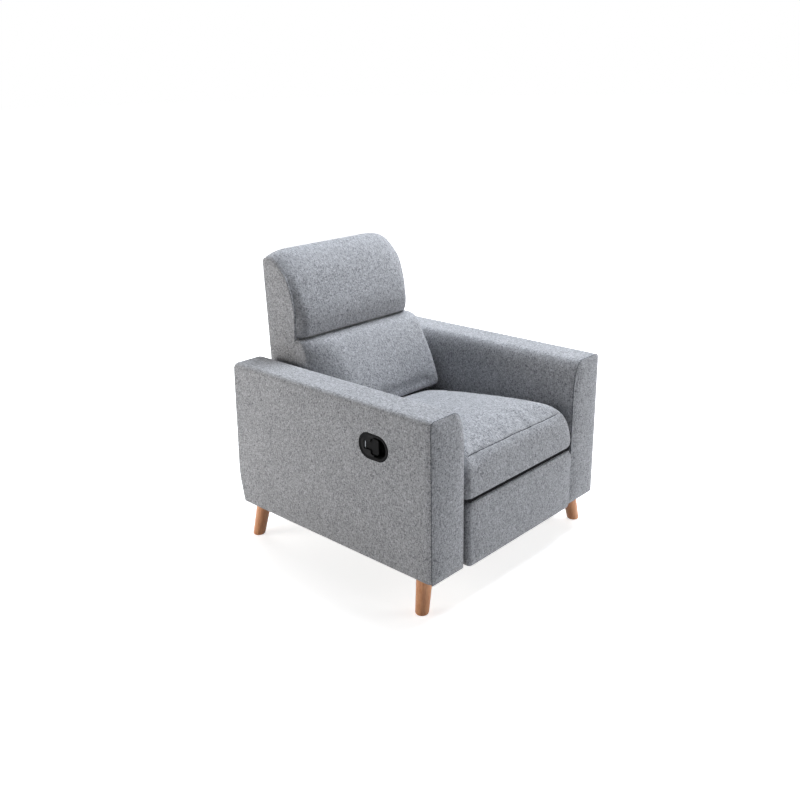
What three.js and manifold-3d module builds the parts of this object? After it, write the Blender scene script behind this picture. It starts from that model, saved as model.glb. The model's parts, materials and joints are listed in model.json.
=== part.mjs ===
// Manual recliner armchair: upholstered block arms on timber frames, a seat unit that glides between
// them, a back that reclines on it, and a footrest that folds out on steel links.
// Millimetres, +Z up. The chair faces -Y and +X is the sitter's left. Heights are above the floor.
// Depths are counted from the front plane of the arms, y = 0, and grow to the rear. The last group
// moves everything so that the origin is under the middle of the chair.
import * as THREE from "three";
import { mergeVertices } from "three/addons/utils/BufferGeometryUtils.js";
import Module from "manifold-3d";

const wasm = await Module();
wasm.setup();

// ---------------------------------------------------------------- driving dimensions
const gap = 0.3; // between touching pieces
const plateGap = 0.5; // between steel plates that swing past each other

// Arms
const chairWidth = 840; // over the arms
const armThickness = 142.6;
const armHeight = 613;
const armDepth = 874.5; // front plane to the kink in the rear end
const legHeight = 114.7; // floor to the underside of the arms
const rearKink = 102; // height of the kink above the underside
const rearTuck = 18.4; // how far the rear bottom corner lies in front of the kink
const rearLean = 0.044; // forward lean of the rear end above the kink, run over rise
const sidePad = 18; // padded side panels
const endPad = 16; // padded front and rear panels
const topPad = 45;
const armTopRound = 26; // edges along the arm top and round the front panel
const armRearRound = 30; // rear corner of the arm top
const panelEdge = 4; // lower edges of the front panel
const postThickness = 22; // timber posts of the arm frame
const railThickness = 20; // timber rails of the arm frame

// Legs
const legTopRadius = 25;
const legFootRadius = 20.5;
const legEdge = 3;
const studRadius = 4; // hanger bolt on top of a leg
const studLength = 18;
const studClearance = 0.3;
const footInset = 17.5; // foot centre in from the arm's outer side
const frontFootY = 55.3;
const rearFootInset = 66.5; // rear foot centre in front of the kink
const splayX = 25; // foot centre outside the centre of the leg top
const splayY = 10;

// Base
const crossRailHeight = 48;
const crossRailDepth = 25;
const frontRailY = 350;
const rearRailInset = 74.5; // front face of the rear rail in front of the kink
const lowerPanelThickness = 14;
const lowerPanelTop = 250;
const glideWall = 4; // steel angle
const glideLeg = 27; // width of the level leg
const glideUpstand = 48;
const glideFront = 95;
const glideLane = 29.1; // arm to the seat unit's side plate

// Seat unit
const seatSideClearance = 6; // cushion to arm
const seatSlope = 0.128; // fall of the seat deck, run to the rear
const seatDeckFront = 336; // height of the cushion's underside at the front plane
const cushionFront = -13; // front face of the seat cushion
const cushionRear = 640;
const cushionThickness = 162; // at the middle, under the crown
const cushionPlan = 0.22; // superellipse powers: 0 is a square corner, 1 is round
const cushionSection = 0.34;
const springWire = 4;
const springPitch = 34;
const springHalfWidth = 24;
const springX = 130; // outer springs
const springTension = 0.7; // roundness of its bends
const seatBoard = 15;
const frontBoardY = 60; // behind the shut footrest
const frontBoardDepth = 38;
const frontBoardLedge = 10; // the strip that reaches over the side plates
const rearBoardY = 590;
const rearBoardDepth = 46;
const plateThickness = 4; // side plates and links
const runnerFlange = 20;
const runnerFront = 150;
const plateNose = 24; // height of the plate under the front board
const plateChin = { y: 110, z: 235 };
const pivotLug = 18; // plate round the back's pivot
const linkLug = 12; // plate round a link's pivot
const lugBase = 24; // half length of the lug's foot
const glideTravel = 60; // how far the seat unit runs forward as the back reclines

// Footrest linkage: y and z of its pivots with the footrest shut
const rearPivot = { y: 190, z: 282 };
const linkLength = 175; // rear link and control link
const linkShut = -56; // degrees from straight down, forward positive
const linkOpen = 78;
const footPivot = { y: 88, z: 255 }; // front link to footrest bracket
const controlOffset = 80; // along the front link, rear link to control link
const crankLength = 45; // control link beyond its pivot on the front link
const crankBend = 5; // degrees
const tiltArm = 56; // footrest pivot to tilt link on the bracket
const tiltArmAngle = -56; // degrees, shut
const linkWidth = 20;
const tiltLinkWidth = 15;
const pinRadius = 5;
const pinClearance = 0.4;
const rivetHead = 1.5;
const rivetRim = 3;
const tubeRadius = 9;
const tubeOffset = 40; // along the rear link from its pivot

// Footrest
const footrestFront = -16; // front face of the pad, proud of the arms
const footrestBottom = 112;
const footrestTop = 322;
const footrestSideGap = 10;
const footrestPadThickness = 56;
const footrestBoard = 12;
const footrestBoardInset = 12;
const footrestCorner = 24;
const footrestEdge = 12;
const bracketFlange = 26;
const bracketWall = 3;
const bracketAbove = 42; // bracket over and under the footrest's pivot
const bracketBelow = 85;
const bracketEye = 12;
const bracketToe = 11;

// Back unit, in its own lean: depth counts forward from its rear face, height from its bottom edge
const backSideClearance = 15.4; // back to arm
const backBottom = 262; // height above the floor
const backRearY = 835.6; // rear face at the bottom edge
const backLean = 1.78; // degrees
const reclinePivot = { y: 680, z: 305 };
const reclinePin = 8;
const reclineEye = 17;
const bracketHeel = 90; // recline pivot to the bracket's rear corners, rearwards
const bracketRear = 120;
const bracketStrap = 30; // width of its upright strap
const bracketTop = 100; // above the pivot
const bracketNeck = 50;
const outerBackPanel = 12;
const outerBackTop = 678;
const backSidePanel = 12;
const postWidth = 25;
const postDepth = 40;
const postHeight = 600;
const backRail = 26;
const backRailWidth = 60;
const coreFront = 125;
const coreBottom = 150;
const coreTop = 560;
const cushionSplit = 412; // crease between lumbar and head cushions
const cushionRound = 34;
const sideFront = 127; // depth of the boxed sides beside the lumbar cushion
const sideBottom = 70;
const crestGap = 0.4;
// Side view of the back as [depth, height from the crease between its cushions]
const crestKnots = [[16, 263], [46, 261], [84, 228], [112, 184], [130, 118], [134, 72], [127, 0]];
const headKnots = [
  [15, 286], [38, 290], [70, 277], [109, 219], [139, 150], [159, 88], [164, 43], [156, 11], [136, 0],
];
const headRear = [2, 272];
const lumbarKnots = [[150, 0], [192, -13], [226, -58], [277, -150], [304, -227], [300, -246]];
const lumbarUnder = [[230, -262], [50, -292]];

// Release handle
const cupLength = 117;
const cupHeight = 82;
const cupY = 217;
const cupDrop = 126; // below the arm's top
const cupFlange = 3;
const cupRim = 6; // flange beyond the cup body
const cupDepth = 36;
const cupWall = 3.5;
const paddleThickness = 4;
const paddleHingeOffset = 36; // behind the cup's centre
const paddlePin = 2.2;
const paddleBarrel = 2.6; // wall round the pin
const paddleInset = 4; // hinge axis behind the flange
const paddleTab = 11; // half height of the tab
const paddleBlade = 24; // half height of the blade
const bladeFront = 18; // in front of the cup's centre
const bladeRear = 9;
const bladeCorner = 5;
const cableRadius = 2.5;
const cableHole = 3.4;
const cableExit = { y: 360, z: 245 }; // through the inner side of the arm and the side plate
const cableSplit = 7.5; // from the arm's inner face to where its two lengths meet
const pawlPivot = { y: 268, z: 262 };
const pawlPin = 4;
const pawlClearance = 0.6;
const pawlTail = 38; // pivot to the rounded end that the cable pulls
const pawlWaist = 9;
const pawlRest = 205; // direction of the nose, degrees

// ---------------------------------------------------------------- worked out once
const halfWidth = chairWidth / 2;
const armInner = halfWidth - armThickness;
const underside = legHeight + gap;
const footX = halfWidth - footInset;
const rearFootY = armDepth - rearFootInset;
const legTops = [
  { end: "front", footY: frontFootY, topY: frontFootY + splayY },
  { end: "rear", footY: rearFootY, topY: rearFootY - splayY },
];
const legTopX = footX - splayX;
const rearRailY = armDepth - rearRailInset;
const cupZ = armHeight - cupDrop;
const sidePlateX = armInner - glideLane - plateThickness; // inner face of a side plate
const backHalfWidth = armInner - backSideClearance;
const frameTop = armHeight - topPad - gap;
const frameInner = armInner + sidePad + gap;
const frameOuter = halfWidth - sidePad - gap;
const kinkZ = underside + rearKink;
const rearY = (z) =>
  z < kinkZ
    ? armDepth - (rearTuck * (kinkZ - z)) / rearKink
    : armDepth - rearLean * (z - kinkZ);
const deckZ = (y) => seatDeckFront - seatSlope * y; // underside of the seat cushion
const boardTop = (y) => deckZ(y) - springWire - 2 * gap;
const boardUnder = (y) => boardTop(y) - seatBoard;
const rad = THREE.MathUtils.degToRad;
const centreDepth = (armDepth + footrestFront) / 2;

// Planes of the linkage, inner faces, counted inwards from the side plate
const linkPlane = sidePlateX - plateGap - plateThickness;
const frontLinkPlane = linkPlane - plateGap - plateThickness;
const bracketPlane = frontLinkPlane - plateGap - plateThickness;

// ---------------------------------------------------------------- materials
const material = (color, roughness, metalness = 0) =>
  new THREE.MeshStandardMaterial({ color, roughness, metalness });
const fabric = material(0x9a9ea4, 0.95);
const foam = material(0xe8e2d2, 0.95);
const beech = material(0xc98f5f, 0.5);
const timber = material(0xd8bd8f, 0.8);
const steel = material(0x2b2d30, 0.5, 0.8);
const springSteel = material(0x8c8f93, 0.4, 0.9);
const plastic = material(0x1d1e20, 0.45);

// ---------------------------------------------------------------- solids
function solid(geometry) {
  const g = geometry.clone();
  g.deleteAttribute("normal");
  g.deleteAttribute("uv");
  const m = mergeVertices(g, 1e-3);
  return new wasm.Manifold(
    new wasm.Mesh({
      numProp: 3,
      vertProperties: m.attributes.position.array,
      triVerts: new Uint32Array(m.index.array),
    }),
  );
}

function geometryOf(manifold) {
  const mesh = manifold.getMesh();
  const g = new THREE.BufferGeometry();
  g.setAttribute("position", new THREE.BufferAttribute(mesh.vertProperties, 3));
  g.setIndex(new THREE.BufferAttribute(mesh.triVerts, 1));
  g.computeVertexNormals();
  return g;
}

const joined = (first, ...rest) =>
  geometryOf(rest.reduce((s, g) => s.add(solid(g)), solid(first)));
const cut = (first, ...rest) =>
  geometryOf(rest.reduce((s, g) => s.subtract(solid(g)), solid(first)));
const common = (a, b) => geometryOf(solid(a).intersect(solid(b)));

const box = (x0, x1, y0, y1, z0, z1) =>
  new THREE.BoxGeometry(x1 - x0, y1 - y0, z1 - z0).translate(
    (x0 + x1) / 2,
    (y0 + y1) / 2,
    (z0 + z1) / 2,
  );

// An outline in (y, z) carried along x, an outline in (x, z) carried along y.
const turnToX = new THREE.Matrix4().set(0, 0, 1, 0, 1, 0, 0, 0, 0, 1, 0, 0, 0, 0, 0, 1);
const alongX = (shape, x0, x1, curve = 8) =>
  new THREE.ExtrudeGeometry(shape, {
    depth: Math.abs(x1 - x0),
    bevelEnabled: false,
    curveSegments: curve,
  })
    .applyMatrix4(turnToX)
    .translate(Math.min(x0, x1), 0, 0);
const alongY = (shape, y0, y1, curve = 8) =>
  new THREE.ExtrudeGeometry(shape, {
    depth: y1 - y0,
    bevelEnabled: false,
    curveSegments: curve,
  })
    .rotateX(Math.PI / 2)
    .translate(0, y1, 0);

const outline = (points) =>
  new THREE.Shape(points.map(([a, b]) => new THREE.Vector2(a, b)));

function circle(y, z, radius) {
  const path = new THREE.Path();
  path.absarc(y, z, radius, 0, 2 * Math.PI, true);
  return path;
}

// A rectangle with its own radius at each corner, from the lower left corner round to the left.
function roundedRect(a0, a1, b0, b1, [r0, r1, r2, r3]) {
  const s = new THREE.Shape();
  s.moveTo(a0 + r0, b0);
  s.lineTo(a1 - r1, b0);
  s.absarc(a1 - r1, b0 + r1, r1, -Math.PI / 2, 0, false);
  s.lineTo(a1, b1 - r2);
  s.absarc(a1 - r2, b1 - r2, r2, 0, Math.PI / 2, false);
  s.lineTo(a0 + r3, b1);
  s.absarc(a0 + r3, b1 - r3, r3, Math.PI / 2, Math.PI, false);
  s.lineTo(a0, b0 + r0);
  s.absarc(a0 + r0, b0 + r0, r0, Math.PI, 1.5 * Math.PI, false);
  return s;
}

// A bar with round ends between two points.
function bar([y0, z0], [y1, z1], width, holes = []) {
  const a = Math.atan2(z1 - z0, y1 - y0);
  const r = width / 2;
  const s = new THREE.Shape();
  s.absarc(y1, z1, r, a - Math.PI / 2, a + Math.PI / 2, false);
  s.absarc(y0, z0, r, a + Math.PI / 2, a + 1.5 * Math.PI, false);
  holes.forEach(([y, z, hole]) => s.holes.push(circle(y, z, hole)));
  return s;
}

// A round pin along x.
const pin = (y, z, radius, x0, x1) =>
  new THREE.CylinderGeometry(radius, radius, Math.abs(x1 - x0), 20)
    .rotateZ(Math.PI / 2)
    .translate((x0 + x1) / 2, y, z);

// Length from the middle outwards on one side of the chair: side is 1 on the left, -1 on the right.
const outwards = (side, shape, inner, outer, curve) =>
  alongX(shape, side * inner, side * outer, curve);

const chair = new THREE.Group();
function place(name, geometry, mat, group = chair) {
  const mesh = new THREE.Mesh(geometry, mat);
  mesh.name = name;
  group.add(mesh);
  return mesh;
}

// ---------------------------------------------------------------- arms
// Side outline of the arm between two heights, drawn in by the same distance at front and rear.
function armSide(inset, z0, z1, extra = 0) {
  const front = inset + extra;
  const back = (z) => rearY(z) - inset - extra;
  const points = [
    [front, z0],
    [back(z0), z0],
    [back(kinkZ), kinkZ],
    [back(z1), z1],
    [front, z1],
  ];
  return points;
}

// Stadium outline, long along y.
function stadium(length, height, grow = 0) {
  const r = height / 2 + grow;
  const half = (length - height) / 2;
  return bar([cupY - half, cupZ], [cupY + half, cupZ], 2 * r);
}

// The bolt on a leg's top, or the hole that it is screwed into.
const stud = (side, y, radius, length) =>
  new THREE.CylinderGeometry(radius, radius, length + 1, 16)
    .rotateX(Math.PI / 2)
    .translate(side * legTopX, y, legHeight + (length - 1) / 2);

const crossRail = (y, x, grow = 0) =>
  box(-x, x, y - grow, y + crossRailDepth + grow, underside - grow, underside + crossRailHeight + grow);

function arm(side, label) {
  const inset = endPad + gap;
  const core = outline(armSide(inset, underside, frameTop));

  const frame = outline(armSide(inset, underside, frameTop));
  const window = armSide(inset, underside + railThickness, frameTop - railThickness, postThickness);
  frame.holes.push(new THREE.Path(window.map(([y, z]) => new THREE.Vector2(y, z)).reverse()));
  const studHoles = legTops.map(({ topY }) => stud(side, topY, studRadius + studClearance, studLength + 3));
  place(`arm_${label}_frame`, cut(outwards(side, frame, frameInner, frameOuter), ...studHoles), timber);

  let outer = outwards(side, core, halfWidth - sidePad, halfWidth);
  if (side < 0) {
    const hole = stadium(cupLength - 2 * cupRim, cupHeight - 2 * cupRim, gap);
    outer = cut(outer, outwards(side, hole, halfWidth - sidePad - 1, halfWidth + 1));
  }
  place(`arm_${label}_outer_pad`, outer, fabric);

  let inner = cut(
    outwards(side, core, armInner, armInner + sidePad),
    crossRail(frontRailY, frameInner, gap),
    crossRail(rearRailY, frameInner, gap),
  );
  if (side < 0) {
    inner = cut(inner, pin(cableExit.y, cableExit.z, cableHole, -armInner + 1, -armInner - sidePad - 1));
  }
  place(`arm_${label}_inner_pad`, inner, fabric);

  const lo = side > 0 ? armInner : -halfWidth;
  const face = roundedRect(
    lo, lo + armThickness, underside, armHeight,
    [panelEdge, panelEdge, armTopRound, armTopRound],
  );
  place(`arm_${label}_front_pad`, alongY(face, 0, endPad), fabric);

  const rear = outline([
    [rearY(underside) - endPad, underside],
    [rearY(underside), underside],
    [rearY(kinkZ), kinkZ],
    [rearY(frameTop), frameTop],
    [rearY(frameTop) - endPad, frameTop],
    [rearY(kinkZ) - endPad, kinkZ],
  ]);
  place(`arm_${label}_rear_pad`, outwards(side, rear, armInner, halfWidth), fabric);

  // The top pad is the arm's front outline and its side outline at once.
  const topFace = roundedRect(
    lo, lo + armThickness, frameTop + gap, armHeight,
    [0, 0, armTopRound, armTopRound],
  );
  const topRear = rearY(armHeight);
  const topSide = new THREE.Shape();
  topSide.moveTo(endPad + gap, frameTop + gap);
  topSide.lineTo(rearY(frameTop + gap), frameTop + gap);
  topSide.lineTo(topRear, armHeight - armRearRound);
  topSide.absarc(topRear - armRearRound, armHeight - armRearRound, armRearRound, 0, Math.PI / 2, false);
  topSide.lineTo(endPad + gap, armHeight);
  place(
    `arm_${label}_top_pad`,
    common(alongY(topFace, endPad + gap, armDepth), outwards(side, topSide, armInner, halfWidth)),
    fabric,
  );
}

// ---------------------------------------------------------------- legs
// A turned leg stands under each end of an arm; it is sheared, so its foot and its top stay level.
function leg(side, label, { end, footY, topY }) {
  const profile = [
    [0, 0],
    [legFootRadius - legEdge, 0],
    [legFootRadius, legEdge],
    [legTopRadius, legHeight],
    [0, legHeight],
  ].map(([r, z]) => new THREE.Vector2(r, z));
  const leanX = (-side * splayX) / legHeight;
  const leanY = (topY - footY) / legHeight;
  const shear = new THREE.Matrix4().set(
    1, 0, leanX, side * footX,
    0, 1, leanY, footY,
    0, 0, 1, 0,
    0, 0, 0, 1,
  );
  const turned = new THREE.LatheGeometry(profile, 28).rotateX(Math.PI / 2).applyMatrix4(shear);
  place(`leg_${end}_${label}`, joined(turned, stud(side, topY, studRadius, studLength)), beech);
}

// ---------------------------------------------------------------- base between the arms
function base() {
  place("base_front_rail", crossRail(frontRailY, frameInner - gap), timber);
  place("base_rear_rail", crossRail(rearRailY, frameInner - gap), timber);
  const panelRear = rearRailY + crossRailDepth + gap;
  place(
    "lower_back_panel",
    box(
      -armInner + gap, armInner - gap,
      panelRear, panelRear + lowerPanelThickness,
      underside, lowerPanelTop,
    ),
    fabric,
  );
  for (const [side, label] of [[1, "left"], [-1, "right"]]) {
    const x = armInner - gap;
    const floor = underside + crossRailHeight + gap;
    const end = rearRailY + crossRailDepth;
    const level = box(x - glideLeg, x, glideFront, end, floor, floor + glideWall);
    const stand = box(x - glideWall, x, glideFront, end, floor, floor + glideUpstand);
    const angle = joined(level, stand);
    if (side < 0) angle.rotateZ(Math.PI).translate(0, glideFront + end, 0);
    place(`glide_rail_${label}`, angle, steel);
  }
}

// ---------------------------------------------------------------- seat unit
const along = ({ y, z }, length, degrees) => ({
  y: y - length * Math.sin(rad(degrees)),
  z: z - length * Math.cos(rad(degrees)),
});
// Pivots of the shut linkage
const kneePivot = along(rearPivot, linkLength, linkShut);
const reach = Math.hypot(footPivot.y - kneePivot.y, footPivot.z - kneePivot.z);
const towardsFoot = {
  y: (footPivot.y - kneePivot.y) / reach,
  z: (footPivot.z - kneePivot.z) / reach,
};
const offsetBy = ({ y, z }, d) => ({ y: y + d * towardsFoot.y, z: z + d * towardsFoot.z });
const controlPivot = offsetBy(rearPivot, controlOffset);
const crankPivot = offsetBy(kneePivot, controlOffset);
const crankEnd = along(crankPivot, crankLength, linkShut + crankBend);
const tiltEnd = {
  y: footPivot.y + tiltArm * Math.cos(rad(tiltArmAngle)),
  z: footPivot.z + tiltArm * Math.sin(rad(tiltArmAngle)),
};
const tubeCentre = along(rearPivot, tubeOffset, linkShut);

function sidePlate(side, label) {
  const z = underside + crossRailHeight + 2 * gap + glideWall;
  const top = (y) => boardUnder(y) - gap;
  const heel = reclinePivot.y - pivotLug;
  const boardEnd = rearBoardY + rearBoardDepth;
  const shape = new THREE.Shape();
  shape.moveTo(runnerFront, z);
  shape.lineTo(heel, z);
  shape.lineTo(reclinePivot.y + pivotLug, reclinePivot.z - pivotLug);
  shape.absarc(reclinePivot.y, reclinePivot.z, pivotLug, 0, Math.PI, false);
  shape.lineTo(heel, reclinePivot.z - pivotLug);
  shape.lineTo(boardEnd, top(boardEnd));
  shape.lineTo(controlPivot.y + lugBase, top(controlPivot.y + lugBase));
  shape.absarc(controlPivot.y, controlPivot.z, linkLug, 0.2, Math.PI - 0.2, false);
  shape.lineTo(controlPivot.y - lugBase, top(controlPivot.y - lugBase));
  shape.lineTo(frontBoardY, top(frontBoardY));
  shape.lineTo(frontBoardY, top(frontBoardY) - plateNose);
  shape.lineTo(plateChin.y, plateChin.z);
  shape.holes.push(circle(rearPivot.y, rearPivot.z, pinRadius + pinClearance));
  shape.holes.push(circle(controlPivot.y, controlPivot.z, pinRadius + pinClearance));
  shape.holes.push(circle(reclinePivot.y, reclinePivot.z, reclinePin + pinClearance));
  if (side < 0) {
    shape.holes.push(circle(pawlPivot.y, pawlPivot.z, pawlPin + pinClearance));
    shape.holes.push(circle(cableExit.y, cableExit.z, cableHole));
  }
  const outer = sidePlateX + plateThickness;
  const web = outwards(side, shape, sidePlateX, outer);
  const x = [side * (outer - 1), side * (outer + runnerFlange)].sort((a, b) => a - b);
  const flange = box(x[0], x[1], runnerFront, heel, z, z + plateThickness);
  place(`seat_side_plate_${label}`, joined(web, flange), steel);
}

// A length of seat board that lies in the slope of the deck.
function deckBoard(y, depth, half) {
  const shape = outline([
    [y, boardUnder(y)],
    [y + depth, boardUnder(y + depth)],
    [y + depth, boardTop(y + depth)],
    [y, boardTop(y)],
  ]);
  return alongX(shape, -half, half);
}

// A sinuous spring: wire in rounded zigzags from board to board, lying on both.
function spring(name, x) {
  const first = frontBoardY + springWire;
  const last = rearBoardY + rearBoardDepth - springWire;
  const turns = Math.round((last - first) / springPitch);
  const step = (last - first) / turns;
  const points = [];
  for (let i = 0; i <= 2 * turns; i += 1) {
    const y = first + (i * step) / 2;
    const swing = i % 2 ? springHalfWidth * (i % 4 === 1 ? 1 : -1) : 0;
    points.push(new THREE.Vector3(x + swing, y, boardTop(y) + gap + springWire / 2));
  }
  const path = new THREE.CatmullRomCurve3(points, false, "catmullrom", springTension);
  const section = new THREE.Shape();
  section.absarc(0, 0, springWire / 2, 0, 2 * Math.PI, false);
  const wire = new THREE.ExtrudeGeometry(section, {
    extrudePath: path,
    steps: 4 * turns,
    curveSegments: 3,
  });
  place(name, wire, springSteel);
}

// A crowned cushion: a superellipsoid of half sizes a, b, c, with squarer or rounder outlines.
function pillow(a, b, c, planPower, sidePower, rings = 14, spokes = 40) {
  const power = (v, e) => (Math.abs(v) < 1e-9 ? 0 : Math.sign(v) * Math.abs(v) ** e);
  const points = [];
  for (let i = 0; i <= rings; i += 1) {
    const t = -Math.PI / 2 + (Math.PI * i) / rings;
    points.push([power(Math.cos(t), sidePower), power(Math.sin(t), sidePower)]);
  }
  const position = [];
  const at = ([r, h], j) => {
    const p = (2 * Math.PI * (j % spokes)) / spokes;
    return [a * r * power(Math.cos(p), planPower), b * r * power(Math.sin(p), planPower), c * h];
  };
  for (let i = 0; i < rings; i += 1) {
    for (let j = 0; j < spokes; j += 1) {
      const [p, q, r, s] = [
        at(points[i], j),
        at(points[i], j + 1),
        at(points[i + 1], j + 1),
        at(points[i + 1], j),
      ];
      if (i > 0) position.push(...p, ...q, ...r);
      if (i < rings - 1) position.push(...p, ...r, ...s);
    }
  }
  const g = new THREE.BufferGeometry();
  g.setAttribute("position", new THREE.Float32BufferAttribute(position, 3));
  return g;
}

function seat() {
  sidePlate(1, "left");
  sidePlate(-1, "right");
  // Both boards rest on the plates; the front one leaves room behind its ledge for the links.
  const overPlates = sidePlateX + plateThickness;
  place(
    "seat_front_board",
    joined(
      deckBoard(frontBoardY, frontBoardLedge, overPlates),
      deckBoard(frontBoardY, frontBoardDepth, bracketPlane - plateGap),
    ),
    timber,
  );
  place("seat_rear_board", deckBoard(rearBoardY, rearBoardDepth, overPlates), timber);
  spring("seat_spring_left", springX);
  spring("seat_spring_middle", 0);
  spring("seat_spring_right", -springX);

  const halfLength = (cushionRear - cushionFront) / 2;
  const middle = (cushionRear + cushionFront) / 2;
  const lift = deckZ(middle) + cushionThickness / 2;
  const cushion = pillow(
    armInner - seatSideClearance, halfLength, cushionThickness / 2,
    cushionPlan, cushionSection,
  );
  // The cushion follows the slope of the deck but keeps its upright front.
  cushion.applyMatrix4(
    new THREE.Matrix4().set(1, 0, 0, 0, 0, 1, 0, middle, 0, -seatSlope, 1, lift, 0, 0, 0, 1),
  );
  place("seat_cushion", cushion, fabric);
}

// ---------------------------------------------------------------- footrest linkage
const at = ({ y, z }) => [y, z];
function linkage(side, label) {
  const x = (d) => side * d;
  const hole = (p, r) => [p.y, p.z, r + pinClearance];
  const rivet = (p, inner, outer) => [
    pin(p.y, p.z, pinRadius, x(inner + 0.5), x(outer + gap + 0.5)),
    pin(p.y, p.z, pinRadius + rivetRim, x(outer + gap), x(outer + gap + rivetHead)),
  ];
  const inward = (p, outer, inner) => [
    pin(p.y, p.z, pinRadius, x(outer - 0.5), x(inner - gap - 0.5)),
    pin(p.y, p.z, pinRadius + rivetRim, x(inner - gap), x(inner - gap - rivetHead)),
  ];
  const t = plateThickness;

  const rear = outwards(side, bar(at(rearPivot), at(kneePivot), linkWidth), linkPlane, linkPlane + t);
  place(
    `footrest_rear_link_${label}`,
    joined(
      rear,
      ...rivet(rearPivot, linkPlane, sidePlateX + t),
      ...inward(kneePivot, linkPlane + 1, frontLinkPlane),
    ),
    steel,
  );

  const arm1 = bar(at(controlPivot), at(crankPivot), linkWidth);
  const arm2 = bar(at(crankPivot), at(crankEnd), linkWidth);
  place(
    `footrest_control_link_${label}`,
    joined(
      outwards(side, arm1, linkPlane, linkPlane + t),
      outwards(side, arm2, linkPlane, linkPlane + t),
      ...rivet(controlPivot, linkPlane, sidePlateX + t),
      ...inward(crankPivot, linkPlane + 1, frontLinkPlane),
      ...inward(crankEnd, linkPlane + 1, frontLinkPlane),
    ),
    steel,
  );

  const front = bar(at(kneePivot), at(footPivot), linkWidth, [
    hole(kneePivot, pinRadius),
    hole(crankPivot, pinRadius),
  ]);
  place(
    `footrest_front_link_${label}`,
    joined(
      outwards(side, front, frontLinkPlane, frontLinkPlane + t),
      ...inward(footPivot, frontLinkPlane + 1, bracketPlane),
    ),
    steel,
  );

  const tilt = bar(at(crankEnd), at(tiltEnd), tiltLinkWidth, [hole(crankEnd, pinRadius)]);
  place(`footrest_tilt_link_${label}`, outwards(side, tilt, frontLinkPlane, frontLinkPlane + t), steel);

  // The bracket is a plate with an arm down to the tilt link and a flange on the board.
  const back = footrestFront + footrestPadThickness + gap + footrestBoard + gap;
  const web = new THREE.Shape();
  web.moveTo(back, footPivot.z - bracketBelow);
  web.absarc(tiltEnd.y, tiltEnd.z, bracketToe, -1.9, 0.9, false);
  web.absarc(footPivot.y, footPivot.z, bracketEye, 0.2, 1.9, false);
  web.lineTo(back, footPivot.z + bracketAbove);
  web.holes.push(circle(footPivot.y, footPivot.z, pinRadius + pinClearance));
  const flangeX = [x(bracketPlane + t), x(bracketPlane + t - bracketFlange)].sort((a, b) => a - b);
  place(
    `footrest_bracket_${label}`,
    joined(
      outwards(side, web, bracketPlane, bracketPlane + t),
      box(
        flangeX[0], flangeX[1], back, back + bracketWall,
        footPivot.z - bracketBelow, footPivot.z + bracketAbove,
      ),
    ),
    steel,
  );
}

function footrest() {
  linkage(1, "left");
  linkage(-1, "right");
  place(
    "footrest_torque_tube",
    pin(tubeCentre.y, tubeCentre.z, tubeRadius, -linkPlane + gap, linkPlane - gap),
    steel,
  );
  const half = armInner - footrestSideGap;
  const r = footrestCorner - footrestEdge;
  const face = roundedRect(
    -half + footrestEdge, half - footrestEdge,
    footrestBottom + footrestEdge, footrestTop - footrestEdge,
    [r, r, r, r],
  );
  const pad = new THREE.ExtrudeGeometry(face, {
    depth: footrestPadThickness - 2 * footrestEdge,
    bevelEnabled: true,
    bevelThickness: footrestEdge,
    bevelSize: footrestEdge,
    bevelSegments: 4,
    curveSegments: 6,
  })
    .rotateX(Math.PI / 2)
    .translate(0, footrestFront + footrestPadThickness - footrestEdge, 0);
  place("footrest_pad", pad, fabric);
  const y = footrestFront + footrestPadThickness + gap;
  const inset = footrestBoardInset;
  place(
    "footrest_board",
    box(-half + inset, half - inset, y, y + footrestBoard, footrestBottom + inset, footrestTop - inset),
    timber,
  );
}

// ---------------------------------------------------------------- back unit
const backUnit = new THREE.Group();
backUnit.position.set(0, backRearY, backBottom);
backUnit.rotation.x = -rad(backLean);

// A smooth curve through knots of the back's side view.
const fromCrease = (rise) => ([d, h]) => [d, cushionSplit + rise + h];
const curve = (knots, count, rise = 0) =>
  new THREE.SplineCurve(knots.map(fromCrease(rise)).map(([d, h]) => new THREE.Vector2(d, h)))
    .getPoints(count)
    .map(({ x, y }) => [x, y]);
const crest = curve(crestKnots, 12);
const headFront = curve(headKnots, 16, gap);
const lumbarFront = curve(lumbarKnots, 10, -gap);

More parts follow.
